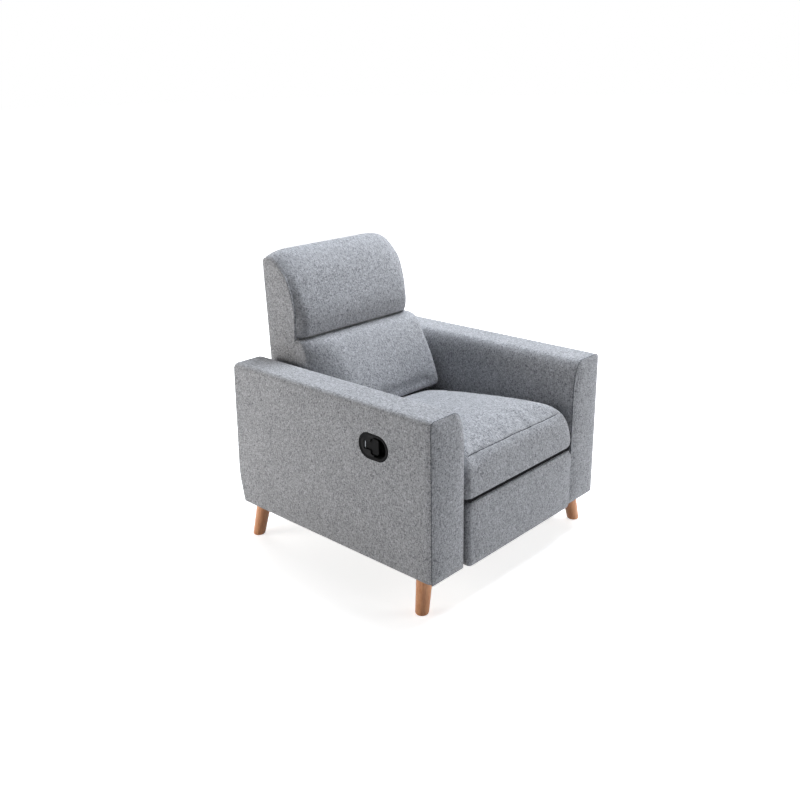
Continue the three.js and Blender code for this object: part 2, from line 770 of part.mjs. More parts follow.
// A cushion with the same outline all across, drawn in towards rounded ends.
function bolster(points, half, round, steps = 5) {
  const shape = outline(points.map(([d, h]) => [-d, h]));
  const ring = shape.getPoints();
  if (THREE.ShapeUtils.isClockWise(ring)) ring.reverse();
  const box2 = new THREE.Box2().setFromPoints(ring);
  const centre = box2.getCenter(new THREE.Vector2());
  const size = box2.getSize(new THREE.Vector2());
  const stations = [];
  for (let i = 0; i <= steps; i += 1) {
    const t = (Math.PI / 2) * (i / steps);
    stations.push([half - round + round * Math.sin(t), round * (1 - Math.cos(t))]);
  }
  const sections = [...stations.map(([x, d]) => [-x, d]).reverse(), ...stations];
  const loops = sections.map(([x, d]) =>
    ring.map((p) => [
      x,
      centre.x + (p.x - centre.x) * (1 - (2 * d) / size.x),
      centre.y + (p.y - centre.y) * (1 - (2 * d) / size.y),
    ]),
  );
  const position = [];
  const n = ring.length;
  for (let i = 0; i < loops.length - 1; i += 1) {
    for (let j = 0; j < n; j += 1) {
      const k = (j + 1) % n;
      position.push(...loops[i][j], ...loops[i][k], ...loops[i + 1][k]);
      position.push(...loops[i][j], ...loops[i + 1][k], ...loops[i + 1][j]);
    }
  }
  const caps = THREE.ShapeUtils.triangulateShape(ring, []);
  const [first, last] = [loops[0], loops[loops.length - 1]];
  for (const [p, q, r] of caps) {
    position.push(...last[p], ...last[q], ...last[r]);
    position.push(...first[p], ...first[r], ...first[q]);
  }
  const g = new THREE.BufferGeometry();
  g.setAttribute("position", new THREE.Float32BufferAttribute(position, 3));
  return solid(g).volume() < 0 ? flipped(g) : g;
}

function flipped(g) {
  const p = g.attributes.position.array;
  for (let i = 0; i < p.length; i += 9) {
    for (let k = 0; k < 3; k += 1) {
      [p[i + 3 + k], p[i + 6 + k]] = [p[i + 6 + k], p[i + 3 + k]];
    }
  }
  return g;
}

// Side outline of the boxed sides, its front and top grown by a clearance.
const boxedSide = (grow) =>
  outline([
    [-outerBackPanel - gap + grow, sideBottom],
    [-outerBackPanel - gap + grow, crest[0][1] + grow],
    ...crest.map(([d, h]) => [-d - grow, h + grow]),
    [-sideFront - grow, sideBottom],
  ]);

function back() {
  const inside = backHalfWidth - backSidePanel - gap;
  const postFront = outerBackPanel + gap + postDepth;
  const postX = sidePlateX - plateGap - plateThickness - gap;
  const inBack = (name, geometry, mat) => place(name, geometry, mat, backUnit);

  inBack(
    "back_outer_panel",
    box(-backHalfWidth, backHalfWidth, -outerBackPanel, 0, 0, outerBackTop),
    fabric,
  );
  const rear = outerBackPanel + gap;
  for (const [side, label] of [[1, "left"], [-1, "right"]]) {
    const x = [side * (postX - postWidth), side * postX].sort((a, b) => a - b);
    inBack(`back_post_${label}`, box(x[0], x[1], -postFront, -rear, 0, postHeight), timber);
    inBack(
      `back_side_${label}`,
      outwards(side, boxedSide(0), backHalfWidth - backSidePanel, backHalfWidth),
      fabric,
    );
  }
  const railX = postX - postWidth - gap;
  inBack("back_bottom_rail", box(-railX, railX, -rear - backRail, -rear, 0, backRailWidth), timber);
  inBack(
    "back_top_rail",
    box(-railX, railX, -rear - backRail, -rear, postHeight - backRailWidth, postHeight),
    timber,
  );
  inBack(
    "back_foam_core",
    box(-inside, inside, -coreFront, -postFront - gap, coreBottom, coreTop),
    foam,
  );
  inBack(
    "lumbar_cushion",
    cut(
      bolster(
        [[postFront, cushionSplit - gap], ...lumbarFront, ...lumbarUnder.map(fromCrease(-gap))],
        backHalfWidth,
        cushionRound,
      ),
      box(-backHalfWidth, backHalfWidth, -sideFront - gap, 0, 0, postHeight),
    ),
    fabric,
  );
  // The head cushion lies over the core, the posts and the outer panel, between the boxed sides.
  const wide = backHalfWidth + 1;
  inBack(
    "head_cushion",
    cut(
      bolster(
        [[headRear[0], cushionSplit + gap], fromCrease(gap)(headRear), ...headFront],
        backHalfWidth,
        cushionRound,
      ),
      box(-wide, wide, -rear, 1, 0, outerBackTop + gap),
      box(-wide, wide, -postFront - gap, 0, 0, postHeight + gap),
      box(-wide, wide, -coreFront - gap, 0, 0, coreTop + gap),
      ...[1, -1].map((side) =>
        outwards(side, boxedSide(crestGap), inside, wide),
      ),
    ),
    fabric,
  );

  // Pivot brackets reach forward and down from the posts to the seat's side plates.
  for (const [side, label] of [[1, "left"], [-1, "right"]]) {
    const inner = sidePlateX - plateGap - plateThickness;
    const plate = new THREE.Shape();
    const { y, z } = reclinePivot;
    plate.absarc(y, z, reclineEye, Math.PI * 0.6, Math.PI * 1.5, false);
    plate.lineTo(y + bracketHeel, z - reclineEye);
    plate.lineTo(y + bracketRear, z + reclineEye);
    plate.lineTo(y + bracketRear, z + bracketTop);
    plate.lineTo(y + bracketRear - bracketStrap, z + bracketTop);
    plate.lineTo(y + bracketRear - 1.5 * bracketStrap, z + bracketNeck);
    const outer = sidePlateX + plateThickness + gap;
    place(
      `back_bracket_${label}`,
      joined(
        outwards(side, plate, inner, inner + plateThickness),
        pin(y, z, reclinePin, side * (inner + 1), side * (outer + 0.5)),
        pin(y, z, reclinePin + rivetRim, side * outer, side * (outer + rivetHead)),
      ),
      steel,
    );
  }
}

// ---------------------------------------------------------------- release handle
function handle() {
  const face = -halfWidth - gap; // back of the flange
  const front = face - cupFlange;
  const body = stadium(cupLength - 2 * cupRim, cupHeight - 2 * cupRim);
  const recess = stadium(cupLength - 2 * cupRim, cupHeight - 2 * cupRim, -cupWall);
  place(
    "handle_cup",
    cut(
      joined(alongX(stadium(cupLength, cupHeight), front, face), alongX(body, face - 1, face + cupDepth)),
      alongX(recess, front - 1, face + cupDepth - cupWall),
    ),
    plastic,
  );

  // Hinge pin across the rear end of the recess, between its walls
  const hingeY = cupY + paddleHingeOffset;
  const recessRadius = cupHeight / 2 - cupRim - cupWall;
  const arcCentre = (cupLength - cupHeight) / 2;
  const pinReach = paddleHingeOffset + paddlePin - arcCentre;
  const pinHalf = Math.sqrt(recessRadius ** 2 - pinReach ** 2) - 2 * gap;
  const hingeX = face + paddleInset;
  const upright = (radius, half) =>
    new THREE.CylinderGeometry(radius, radius, 2 * half, 16)
      .rotateX(Math.PI / 2)
      .translate(hingeX, hingeY, cupZ);
  place("paddle_pin", upright(paddlePin, pinHalf), springSteel);

  // T-shaped paddle: a narrow tab from the hinge and a wide blade in front of it
  const upper = [
    [hingeY, paddleTab],
    [cupY + bladeRear + bladeCorner, paddleTab],
    [cupY + bladeRear, paddleBlade - bladeCorner],
    [cupY + bladeRear - bladeCorner, paddleBlade],
    [cupY - bladeFront + bladeCorner, paddleBlade],
    [cupY - bladeFront, paddleBlade - bladeCorner],
  ];
  const shape = outline([
    ...upper.map(([y, h]) => [y, cupZ + h]),
    ...upper.map(([y, h]) => [y, cupZ - h]).reverse(),
  ]);
  place(
    "release_paddle",
    cut(
      joined(
        alongX(shape, hingeX - paddleThickness / 2, hingeX + paddleThickness / 2),
        upright(paddlePin + paddleBarrel, paddleTab),
      ),
      upright(paddlePin + pinClearance, paddleTab + 1),
    ),
    plastic,
  );
}

function route(name, points) {
  const section = new THREE.Shape();
  section.absarc(0, 0, cableRadius, 0, 2 * Math.PI, false);
  const path = new THREE.CatmullRomCurve3(points.map((p) => new THREE.Vector3(...p)));
  const tube = new THREE.ExtrudeGeometry(section, {
    extrudePath: path,
    steps: Math.round(path.getLength() / (5 * cableRadius)),
    curveSegments: 4,
  });
  place(name, tube, plastic);
}

function release() {
  const { y, z } = cableExit;
  // The cable is in two lengths, one on the arm and one on the seat unit.
  const split = -armInner + cableSplit;
  const inArm = -armInner - sidePad;
  const cupBack = -halfWidth - gap + cupDepth + gap;
  route("release_cable_arm", [
    [cupBack, cupY + 10, cupZ - 10],
    [cupBack + 6, cupY + 10, cupZ - 10],
    [cupBack + 18, cupY + 14, cupZ - 16],
    [cupBack + 38, cupY + 42, cupZ - 64],
    [cupBack + 49, y - 51, z + 92],
    [inArm - 30, y - 18, z + 34],
    [inArm - 11, y, z + 2],
    [inArm - 1, y, z],
    [split - gap, y, z],
  ]);
  const tail = { y: pawlPivot.y + pawlTail + 0.4, z: pawlPivot.z + 6 };
  route("release_cable_seat", [
    [split, y, z],
    [-sidePlateX - 12, y, z],
    [-sidePlateX, y, z],
    [-sidePlateX + 6, y - 5, z + 2],
    [-bracketPlane - 3, y - 18, z + 10],
    [-bracketPlane - 2, tail.y + 14, tail.z + 0.5],
    [-bracketPlane - 2, tail.y, tail.z],
  ]);

  // The pawl's nose swings up to the torque tube when the cable pulls its tail.
  const span = Math.hypot(tubeCentre.y - pawlPivot.y, tubeCentre.z - pawlPivot.z);
  const nose = span - tubeRadius - pawlClearance;
  const rest = rad(pawlRest);
  const spread = 0.16;
  const shape = new THREE.Shape();
  shape.absarc(pawlPivot.y, pawlPivot.z, nose, rest - spread, rest + spread, false);
  shape.lineTo(pawlPivot.y, pawlPivot.z - pawlWaist);
  shape.absarc(pawlPivot.y, pawlPivot.z, pawlTail, -0.02, 0.34, false);
  shape.lineTo(pawlPivot.y, pawlPivot.z + pawlWaist);
  const x = -bracketPlane;
  const beyond = -sidePlateX - plateThickness - gap;
  place(
    "release_pawl",
    joined(
      alongX(shape, x - plateThickness, x),
      pin(pawlPivot.y, pawlPivot.z, pawlPin, x - 1, beyond - 0.5),
      pin(pawlPivot.y, pawlPivot.z, pawlPin + rivetRim, beyond, beyond - rivetHead),
    ),
    steel,
  );
}

// ---------------------------------------------------------------- assembly
for (const [side, label] of [[1, "left"], [-1, "right"]]) {
  arm(side, label);
  legTops.forEach((top) => leg(side, label, top));
}
base();
seat();
footrest();
back();
handle();
release();
chair.add(backUnit);
chair.position.y = -centreDepth;

const recliner = new THREE.Group();
recliner.add(chair);
export default recliner;
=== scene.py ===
"""Looks of the recliner armchair: cloth, stitching, wood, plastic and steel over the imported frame.

Metres, +Z up. The chair faces -Y and +X is the sitter's left.
"""

import json
import math

import bmesh
import bpy
import numpy as np
from mathutils import Matrix, Vector


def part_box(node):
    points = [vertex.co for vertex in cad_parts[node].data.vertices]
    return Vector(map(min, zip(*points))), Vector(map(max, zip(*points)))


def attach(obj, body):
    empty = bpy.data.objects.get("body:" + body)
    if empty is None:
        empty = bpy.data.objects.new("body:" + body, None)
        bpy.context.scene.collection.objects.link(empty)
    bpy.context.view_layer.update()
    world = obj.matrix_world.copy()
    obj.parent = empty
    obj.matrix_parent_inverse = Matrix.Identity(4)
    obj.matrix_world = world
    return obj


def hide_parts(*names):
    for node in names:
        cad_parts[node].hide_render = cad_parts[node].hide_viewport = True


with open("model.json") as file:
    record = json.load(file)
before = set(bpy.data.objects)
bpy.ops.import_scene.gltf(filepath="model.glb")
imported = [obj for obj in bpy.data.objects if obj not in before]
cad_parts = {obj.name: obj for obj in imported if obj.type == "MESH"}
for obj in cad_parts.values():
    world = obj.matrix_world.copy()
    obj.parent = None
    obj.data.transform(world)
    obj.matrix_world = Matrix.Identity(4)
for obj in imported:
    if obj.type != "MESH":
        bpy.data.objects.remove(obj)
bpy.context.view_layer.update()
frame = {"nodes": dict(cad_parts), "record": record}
nodes = frame["nodes"]
MM = 0.001
SIDES = (("left", 1), ("right", -1))


def add_object(name, data):
    """A new object, linked to the scene."""
    obj = bpy.data.objects.new(name, data)
    bpy.context.scene.collection.objects.link(obj)
    return obj


# ---------------------------------------------------------------- camera
CAMERA_PLACE = (-2.0937, -1.8925, 1.4733)
CAMERA_YAW = math.radians(46.726)
CAMERA_DOWN = math.radians(19.617)
CAMERA_ROLL = math.radians(-1.134)
CAMERA_LENS = 40.55
CAMERA_SENSOR = 36.0
CAMERA_SHIFT = (0.0008, -0.0004)


def make_camera():
    """The view from the front right, a little above the arms."""
    data = bpy.data.cameras.new("view")
    data.lens = CAMERA_LENS
    data.sensor_width = CAMERA_SENSOR
    data.shift_x, data.shift_y = CAMERA_SHIFT
    camera = add_object("view", data)
    sine, cosine, level = math.sin(CAMERA_YAW), math.cos(CAMERA_YAW), math.cos(CAMERA_DOWN)
    ahead = Vector((sine * level, cosine * level, -math.sin(CAMERA_DOWN)))
    across = Vector((cosine, -sine, 0))
    up = across.cross(ahead)
    turned = across * math.cos(CAMERA_ROLL) + up * math.sin(CAMERA_ROLL)
    upright = up * math.cos(CAMERA_ROLL) - across * math.sin(CAMERA_ROLL)
    place = Matrix((turned, upright, -ahead)).transposed().to_4x4()
    place.translation = CAMERA_PLACE
    camera.matrix_world = place
    bpy.context.scene.camera = camera


# ---------------------------------------------------------------- meshes
MERGE = 0.02 * MM  # points nearer than this are one


def finish_mesh(name, points, faces, material):
    """An object with a smooth, closed mesh whose faces point out."""
    mesh = bpy.data.meshes.new(name)
    mesh.vertices.add(len(points))
    mesh.vertices.foreach_set("co", np.asarray(points, np.float32).ravel())
    mesh.loops.add(faces.size)
    mesh.loops.foreach_set("vertex_index", faces.astype(np.int32).ravel())
    mesh.polygons.add(len(faces))
    starts = np.arange(0, faces.size, faces.shape[1], dtype=np.int32)
    mesh.polygons.foreach_set("loop_start", starts)
    mesh.update(calc_edges=True)
    work = bmesh.new()
    work.from_mesh(mesh)
    bmesh.ops.remove_doubles(work, verts=work.verts, dist=MERGE)
    bmesh.ops.recalc_face_normals(work, faces=work.faces)
    work.to_mesh(mesh)
    work.free()
    mesh.polygons.foreach_set("use_smooth", np.ones(len(mesh.polygons), bool))
    mesh.materials.append(material)
    return add_object(name, mesh)


def ring_mesh(name, rings, material):
    """A closed surface through rings of points; each end ring falls together on a line."""
    rings = np.asarray(rings, float)
    count, spokes, _ = rings.shape
    i, j = np.meshgrid(np.arange(count - 1), np.arange(spokes), indexing="ij")
    k = (j + 1) % spokes
    ring, following = i * spokes, (i + 1) * spokes
    faces = np.stack([ring + j, ring + k, following + k, following + j], -1)
    return finish_mesh(name, rings.reshape(-1, 3), faces.reshape(-1, 4), material)


def tube(name, path, radius, material, around=8):
    """A round wire along a path, with closed ends: circles across the path's direction."""
    path = np.asarray(path, float)
    along = np.gradient(path, axis=0)
    along /= np.linalg.norm(along, axis=1)[:, None]
    side = np.cross(along, np.array([0.31, 0.17, 0.93]))
    side /= np.linalg.norm(side, axis=1)[:, None]
    other = np.cross(along, side)
    turn = np.linspace(0, 2 * np.pi, around, endpoint=False)
    circle = side[:, None] * np.cos(turn)[:, None] + other[:, None] * np.sin(turn)[:, None]
    rings = path[:, None] + radius * circle
    ends = [np.repeat(path[:1, None], around, 1), np.repeat(path[-1:, None], around, 1)]
    return ring_mesh(name, np.concatenate([ends[0], rings, ends[1]]), material)


def way_along(path):
    """The length of a path from its start to each of its points."""
    return np.concatenate([[0], np.cumsum(np.linalg.norm(np.diff(path, axis=0), axis=1))])


def smooth_path(points, count):
    """Points at even steps along a smooth curve (Catmull-Rom) through the given points."""
    p = np.asarray(points, float)
    p = np.vstack([2 * p[0] - p[1], p, 2 * p[-1] - p[-2]])
    t = np.linspace(0, len(p) - 3 - 1e-9, 40 * len(p))
    k = t.astype(int)
    u = (t - k)[:, None]
    a, b, c, d = p[k], p[k + 1], p[k + 2], p[k + 3]
    bend, twist = 2 * a - 5 * b + 4 * c - d, 3 * b - a - 3 * c + d
    dense = 0.5 * (2 * b + (c - a) * u + bend * u**2 + twist * u**3)
    length = way_along(dense)
    even = np.linspace(0, length[-1], count)
    return np.stack([np.interp(even, length, dense[:, axis]) for axis in range(p.shape[1])], -1)


def rectangle_ring(low, high, radii, steps):
    """Points round a rectangle with rounded corners.

    low and high are its corners in (u, v). The radii, each a number or a pair along u and v, belong
    to the corners (low, low), (high, low), (high, high), (low, high). steps are the numbers of
    points along u, along v and per corner.
    """
    low, high = np.array(low, float), np.array(high, float)
    most = 0.5 * (high - low)
    r = [np.minimum(value, most) for value in radii]
    along_u, along_v, per_corner = steps
    corners = [
        (low[0], low[1], 1, 1, math.pi, r[0], along_u),
        (high[0], low[1], -1, 1, 1.5 * math.pi, r[1], along_v),
        (high[0], high[1], -1, -1, 0, r[2], along_u),
        (low[0], high[1], 1, -1, 0.5 * math.pi, r[3], along_v),
    ]
    arcs = []
    for u, v, step_u, step_v, start, radius, _ in corners:
        turn = start + np.linspace(0, 0.5 * math.pi, per_corner)
        across = u + step_u * radius[0] + radius[0] * np.cos(turn)
        along = v + step_v * radius[1] + radius[1] * np.sin(turn)
        arcs.append(np.stack([across, along], -1))
    ring = []
    for index, arc in enumerate(arcs):
        following = arcs[(index + 1) % 4][0]
        share = np.linspace(0, 1, corners[index][6] + 2)[1:-1, None]
        ring += [arc, arc[-1] + share * (following - arc[-1])]
    return np.concatenate(ring)


def quarter_steps(count):
    """Steps round a quarter circle, as pairs (1 - cos, 1 - sin), from (0, 1) to (1, 0)."""
    return [(1 - math.cos(turn), 1 - math.sin(turn)) for turn in np.linspace(0, 0.5 * np.pi, count)]


def headings(outline):
    """The direction of a closed outline at each of its points."""
    ahead = np.roll(outline, -1, 0) - np.roll(outline, 1, 0)
    return ahead / np.linalg.norm(ahead, axis=1)[:, None]


def waves(points, length, seed):
    """A smooth seeded height over points, about -1 to 1: 12 plane waves of about that length."""
    rng = np.random.RandomState(seed)
    ways = rng.normal(size=(12, 3))
    ways *= (2 * np.pi / length * rng.uniform(0.6, 1.5, 12) / np.linalg.norm(ways, axis=1))[:, None]
    phase = rng.uniform(0, 2 * np.pi, 12)
    return np.sin(points @ ways.T + phase).sum(1) / 3.5


def rise(value, start, end):
    """0 before start, 1 after end, and smooth between: 3t^2 - 2t^3."""
    t = np.clip((value - start) / (end - start), 0, 1)
    return t * t * (3 - 2 * t)


def vectors(collection, key):
    """Values of three parts, one row for each item."""
    values = np.empty(len(collection) * 3, np.float32)
    collection.foreach_get(key, values)
    return values.reshape(-1, 3).astype(float)


def coordinates(mesh):
    """The places of a mesh's points."""
    return vectors(mesh.vertices, "co")


def normals(mesh):
    """The directions out of a mesh at its points."""
    return vectors(mesh.vertex_normals, "vector")


def set_coordinates(mesh, points):
    """Moves a mesh's points to new places."""
    mesh.vertices.foreach_set("co", points.astype(np.float32).ravel())
    mesh.update()


def bake(obj):
    """Puts the result of the modifiers into the mesh and takes the modifiers off."""
    graph = bpy.context.evaluated_depsgraph_get()
    mesh = bpy.data.meshes.new_from_object(obj.evaluated_get(graph))
    obj.modifiers.clear()
    old = obj.data
    obj.data = mesh
    bpy.data.meshes.remove(old)
    mesh.polygons.foreach_set("use_smooth", np.ones(len(mesh.polygons), bool))


def cut_out(obj, *tools):
    """Takes closed shapes out of a piece, and removes them."""
    for tool in tools:
        cut = obj.modifiers.new("opening", "BOOLEAN")
        cut.operation = "DIFFERENCE"
        cut.solver = "EXACT"
        cut.object = tool
    bake(obj)
    for tool in tools:
        bpy.data.objects.remove(tool)


def subdivide(obj):
    """One subdivision, put into the mesh with any modifier before it."""
    finer = obj.modifiers.new("finer", "SUBSURF")
    finer.levels = 1
    finer.render_levels = 1
    bake(obj)


def own(obj, body, slot, *replaced):
    """The piece rides on a body and stands for CAD nodes, which it hides; slot is not used."""
    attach(obj, body)
    if replaced:
        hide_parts(*replaced)


def own_pad(obj, body, fill, *replaced):
    """An upholstered piece on a body, standing for CAD nodes; fill, from 0, slack, to 1, tight, is
    not used.
    """
    own(obj, body, "upholstery", *replaced)


# ---------------------------------------------------------------- node building
class Nodes:
    """Adds shader nodes to a tree and links them."""

    def __init__(self, tree):
        self.tree = tree

    def add(self, kind, **values):
        """A new node with its settings."""
        node = self.tree.nodes.new(kind)
        for key, value in values.items():
            setattr(node, key, value)
        return node

    def link(self, source, target):
        self.tree.links.new(source, target)

    def feed(self, target, value):
        """Gives a socket its value, or a link where the value is a socket."""
        if isinstance(value, bpy.types.NodeSocket):
            self.link(value, target)
        else:
            target.default_value = value

    def maths(self, operation, a, b=None, c=None, clamp=False):
        """One step of arithmetic on numbers."""
        node = self.add("ShaderNodeMath", operation=operation, use_clamp=clamp)
        for index, value in enumerate((a, b, c)):
            if value is not None:
                self.feed(node.inputs[index], value)
        return node.outputs[0]

    def total(self, *parts):
        """The sum of values."""
        value = parts[0]
        for part in parts[1:]:
            value = self.maths("ADD", value, part)
        return value

    def weighted(self, *parts):
        """The sum of values, each times its weight."""
        return self.total(*[self.maths("MULTIPLY", value, weight) for value, weight in parts])

    def vector(self, operation, a, b=None):
        """One step of arithmetic on vectors."""
        node = self.add("ShaderNodeVectorMath", operation=operation)
        self.feed(node.inputs[0], a)
        if b is not None:
            self.feed(node.inputs[1], b)
        return node.outputs[0]

    def combine(self, x, y, z=0.0):
        node = self.add("ShaderNodeCombineXYZ")
        for index, value in enumerate((x, y, z)):
            self.feed(node.inputs[index], value)
        return node.outputs[0]

    def separate(self, vector):
        node = self.add("ShaderNodeSeparateXYZ")
        self.link(vector, node.inputs[0])
        return node.outputs

    def noise(self, vector, scale, detail=2.0, roughness=0.5, dimensions="3D"):
        """Smooth noise from 0 to 1, with scale waves to the metre."""
        node = self.add("ShaderNodeTexNoise", noise_dimensions=dimensions)
        self.link(vector, node.inputs["Vector"])
        node.inputs["Scale"].default_value = scale
        node.inputs["Detail"].default_value = detail
        node.inputs["Roughness"].default_value = roughness
        return node.outputs["Fac"]

    def spread(self, value, low, high, to_low=0.0, to_high=1.0):
        """A value from low to high, made to run from to_low to to_high and held at the ends."""
        node = self.add("ShaderNodeMapRange")
        self.feed(node.inputs["Value"], value)
        node.inputs["From Min"].default_value = low
        node.inputs["From Max"].default_value = high
        node.inputs["To Min"].default_value = to_low
        node.inputs["To Max"].default_value = to_high
        return node.outputs["Result"]

    def relief(self, shader, height, strength, distance):
        """Fine relief on the surface: height times distance, at a strength."""
        node = self.add("ShaderNodeBump")
        node.inputs["Strength"].default_value = strength
        node.inputs["Distance"].default_value = distance
        self.link(height, node.inputs["Height"])
        self.link(node.outputs["Normal"], shader.inputs["Normal"])

    def surface(self, shader, colour, rough, **others):
        """Links a shader's colour and roughness, and sets its other sockets by their names."""
        self.link(colour, shader.inputs["Base Color"])
        self.feed(shader.inputs["Roughness"], rough)
        for label, value in others.items():
            shader.inputs[label.replace("_", " ")].default_value = value

    def mix(self, share, a, b):
        """Colour a where share is 0, colour b where it is 1."""
        node = self.add("ShaderNodeMix", data_type="RGBA")
        self.feed(node.inputs["Factor"], share)
        self.feed(node.inputs[6], a)
        self.feed(node.inputs[7], b)
        return node.outputs[2]


def group(name, inputs, outputs):
    """A new shader node group with named inputs and outputs, and its in and out nodes."""
    tree = bpy.data.node_groups.new(name, "ShaderNodeTree")
    for label, kind in inputs:
        tree.interface.new_socket(name=label, in_out="INPUT", socket_type=kind)
    for label, kind in outputs:
        tree.interface.new_socket(name=label, in_out="OUTPUT", socket_type=kind)
    work = Nodes(tree)
    return tree, work, work.add("NodeGroupInput"), work.add("NodeGroupOutput")


def material(name):
    """A new material with its node helper, its surface shader and its texture coordinates."""
    made = bpy.data.materials.new(name)
    made.use_nodes = True
    made.node_tree.nodes.clear()
    work = Nodes(made.node_tree)
    shader = work.add("ShaderNodeBsdfPrincipled")
    out = work.add("ShaderNodeOutputMaterial")
    work.link(shader.outputs[0], out.inputs["Surface"])
    return made, work, shader, work.add("ShaderNodeTexCoord").outputs


def plain(srgb):
    """A linear colour from 0-255 display numbers."""
    values = [v / 255 for v in srgb]
    return [v / 12.92 if v <= 0.04045 else ((v + 0.055) / 1.055) ** 2.4 for v in values] + [1.0]


# ---------------------------------------------------------------- cloth
YARN = 1.3 * MM  # from thread to thread
STROKE_WIDTH = 1.5 * MM  # a run of lighter or darker yarn
STROKE_LENGTH = 5.5 * MM
STROKE_OFFSET = 7.3  # in lengths: how far rows may start apart
STROKE_CONTRAST = (0.04, 0.96)  # the yarn's own shades, widened from this to 0-1
UNEVEN = (0.3, 0.7, -0.03, 0.03)  # how noise shifts the shade of the dye, in patches and in flecks
PATCHES_PER_METRE = 9.0
FLECKS_PER_METRE = 420.0


def make_strokes(work, across, along, seed):
    """Short runs of yarn, one random shade each, offset from row to row."""
    row = work.maths("FLOOR", work.maths("MULTIPLY", across, 1 / STROKE_WIDTH))
    start = work.add("ShaderNodeTexWhiteNoise", noise_dimensions="1D")
    work.link(work.maths("ADD", row, seed), start.inputs["W"])
    offset = work.maths("MULTIPLY", start.outputs["Value"], STROKE_OFFSET)
    moved = work.maths("MULTIPLY_ADD", along, 1 / STROKE_LENGTH, offset)
    shade = work.add("ShaderNodeTexWhiteNoise", noise_dimensions="3D")
    work.link(work.combine(row, work.maths("FLOOR", moved), seed), shade.inputs["Vector"])
    return shade.outputs["Value"]


def make_weave_plane():
    """Threads of a plain weave with lighter and darker yarn, in one plane of metres U and V."""
    tree, work, start, end = group(
        "weave_plane",
        [("U", "NodeSocketFloat"), ("V", "NodeSocketFloat")],
        [("Shade", "NodeSocketFloat"), ("Height", "NodeSocketFloat")],
    )
    u, v = start.outputs["U"], start.outputs["V"]
    warp = make_strokes(work, u, v, 3.1)
    weft = make_strokes(work, v, u, 8.7)
    strokes = work.weighted((warp, 0.55), (weft, 0.45))
    soft = work.noise(work.combine(u, v), 320.0, 1.0, 0.5, "2D")
    turn_u = work.maths("SINE", work.maths("MULTIPLY", u, math.pi / YARN))
    turn_v = work.maths("SINE", work.maths("MULTIPLY", v, math.pi / YARN))
    knots = work.maths("ABSOLUTE", work.maths("MULTIPLY", turn_u, turn_v))
    work.link(work.spread(strokes, *STROKE_CONTRAST), end.inputs["Shade"])
    height = work.maths("ADD", work.maths("MULTIPLY", knots, 0.3), soft)
    work.link(height, end.inputs["Height"])
    return tree


def make_heather(plane):
    """The weave seen on whichever side a surface faces; it returns yarn shade and height."""
    tree, work, start, end = group(
        "heather_cloth",
        [("Place", "NodeSocketVector"), ("Facing", "NodeSocketVector")],
        [("Shade", "NodeSocketFloat"), ("Height", "NodeSocketFloat")],
    )
    x, y, z = work.separate(start.outputs["Place"])
    facing = work.separate(work.vector("ABSOLUTE", start.outputs["Facing"]))
    powers = [work.maths("POWER", value, 5.0) for value in facing]
    total = work.total(*powers)
    shades, heights = [], []
    for power, (u, v) in zip(powers, ((y, z), (x, z), (x, y))):
        weave = work.add("ShaderNodeGroup", node_tree=plane)
        work.link(u, weave.inputs["U"])
        work.link(v, weave.inputs["V"])
        share = work.maths("DIVIDE", power, total)
        shades.append(work.maths("MULTIPLY", weave.outputs["Shade"], share))
        heights.append(work.maths("MULTIPLY", weave.outputs["Height"], share))
    work.link(work.total(*shades), end.inputs["Shade"])
    work.link(work.total(*heights), end.inputs["Height"])
    return tree


def make_fabric(name, dark, light, fuzz=0.25):
    """Heathered upholstery cloth, from dark to light yarn, with slightly uneven dyeing and wear."""
    made, work, shader, place = material(name)
    cloth = work.add("ShaderNodeGroup", node_tree=HEATHER)
    work.link(place["Object"], cloth.inputs["Place"])
    work.link(place["Normal"], cloth.inputs["Facing"])
    patches = work.noise(place["Object"], PATCHES_PER_METRE, 3.0, 0.55)
    flecks = work.noise(place["Object"], FLECKS_PER_METRE, 1.0, 0.5)
    shade = work.maths("ADD", cloth.outputs["Shade"], work.spread(patches, *UNEVEN))
    shade = work.maths("ADD", shade, work.spread(flecks, *UNEVEN), clamp=True)
    colour = work.mix(shade, plain(dark), plain(light))
    rough = work.spread(patches, 0.3, 0.7, 0.88, 0.97)
    work.surface(
        shader, colour, rough,
        Specular_IOR_Level=0.08, Sheen_Weight=fuzz, Sheen_Roughness=0.5,
    )
    work.relief(shader, cloth.outputs["Height"], 0.35, 0.5 * MM)
    return made


def make_wood(name, dark, light, roughness, coat=0.0):
    """Wood with its grain along Z: long streaks, fine pores and slow change of tone."""
    made, work, shader, place = material(name)
    stretch = work.vector("MULTIPLY", place["Object"], (1.0, 1.0, 0.07))
    streaks = work.noise(stretch, 160.0, 4.0, 0.6)
    pores = work.noise(stretch, 900.0, 1.0, 0.5)
    tone = work.noise(place["Object"], 14.0, 2.0, 0.5)
    grain = work.weighted((streaks, 0.6), (pores, 0.25), (tone, 0.3))
    colour = work.mix(work.spread(grain, 0.38, 0.78), plain(dark), plain(light))
    rough = work.spread(pores, 0.3, 0.7, roughness + 0.06, roughness - 0.04)
    work.surface(shader, colour, rough, Coat_Weight=coat, Coat_Roughness=0.3)
    work.relief(shader, grain, 0.12, 0.3 * MM)
    return made


